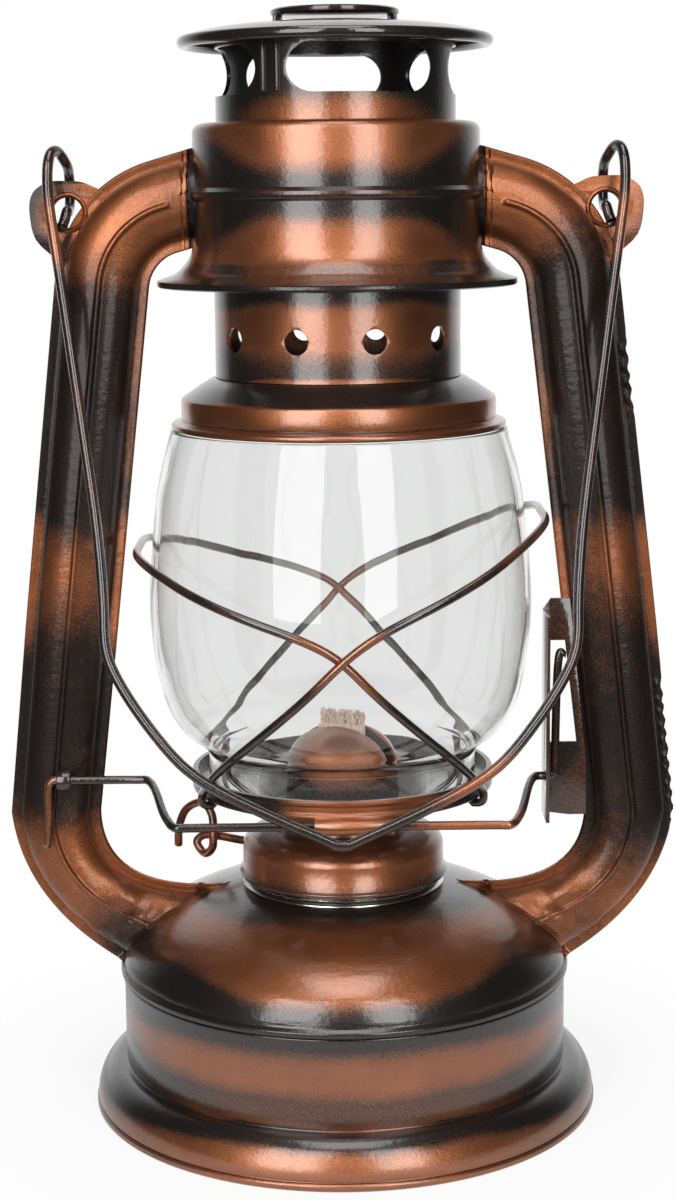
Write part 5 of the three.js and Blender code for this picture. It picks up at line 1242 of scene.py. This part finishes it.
# Rays through the globe count as glossy too, and see more of the white floor
mirrored = addMath(tree, "MULTIPLY_ADD", path["Is Transmission Ray"], -0.75, path["Is Glossy Ray"])
matte = addNode(tree, "BsdfDiffuse", {"Color": (0.86, 0.86, 0.86, 1)})
white = addNode(tree, "Emission", {"Color": addMix(tree, mirrored, (1, 1, 1), backdrop), "Strength": 1})
mixed = addNode(tree, "MixShader", [seen, matte.outputs[0], white.outputs[0]])
addNode(tree, "OutputMaterial", {"Surface": mixed.outputs[0]})
floor.data.materials.append(floorMaterial)
floor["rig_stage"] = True

studio = dict(surround=0.22, frontShade=0.02, leftPower=10.2, rightPower=7.2, topPower=3.6)
world = bpy.data.worlds.new("studio")
bpy.context.scene.world = world
world.use_nodes = True
tree = world.node_tree
tree.nodes.clear()
path = addNode(tree, "LightPath").outputs
heading = addNode(tree, "SeparateXYZ", [addNode(tree, "TexCoord").outputs["Generated"]]).outputs
behind = addRange(tree, heading["Y"], 0.38, 0.95, studio["frontShade"], 1.0, True)
glossy = addMix(tree, behind, (0, 0, 0), (1, 1, 1))
ambient = addMix(tree, path["Is Glossy Ray"], (studio["surround"],) * 3, glossy)
seen = addMath(tree, "MAXIMUM", path["Is Camera Ray"], path["Is Transmission Ray"])
background = addNode(tree, "Background", {"Color": addMix(tree, seen, ambient, (1, 1, 1))})
addNode(tree, "OutputWorld", {"Surface": background.outputs[0]})


def softbox(name, place, width, tall, power):
    startNew()
    bpy.ops.object.light_add(type="AREA", location=place)
    lamp = bpy.context.object
    lamp.name = name
    lamp.data.shape = "RECTANGLE"
    lamp.data.size, lamp.data.size_y = width, tall
    lamp.data.energy = power
    lamp.rotation_mode = "QUATERNION"
    lamp.rotation_quaternion = (Vector((0, 0, 0.1)) - Vector(place)).to_track_quat("-Z", "Y")
    lamp.visible_camera = False
    lamp.visible_transmission = False


softbox("leftBox", (-0.43, -0.9, 0.35), 0.52, 1.5, studio["leftPower"])
softbox("rightBox", (0.4, -0.92, 0.35), 0.37, 1.5, studio["rightPower"])
softbox("topBox", (0, -0.16, 1.1), 0.46, 0.8, studio["topPower"])

camera = dict(lens=69, sensor=36, place=(-0.7, -509, 205.5), pitch=80, roll=-0.6)
startNew()
bpy.ops.object.camera_add()
eye = bpy.context.object
eye.name = "camera"
eye.data.lens = camera["lens"]
eye.data.sensor_width = camera["sensor"]
eye.data.clip_start = 0.02
eye.matrix_world = (shiftBy(*camera["place"]) @ turnBy(radians(camera["pitch"]), "X")
                    @ turnBy(radians(camera["roll"])))
bpy.context.scene.camera = eye
bpy.context.scene.view_settings.view_transform = "Standard"

bpy.context.view_layer.update()
low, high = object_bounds()
print("scene done")
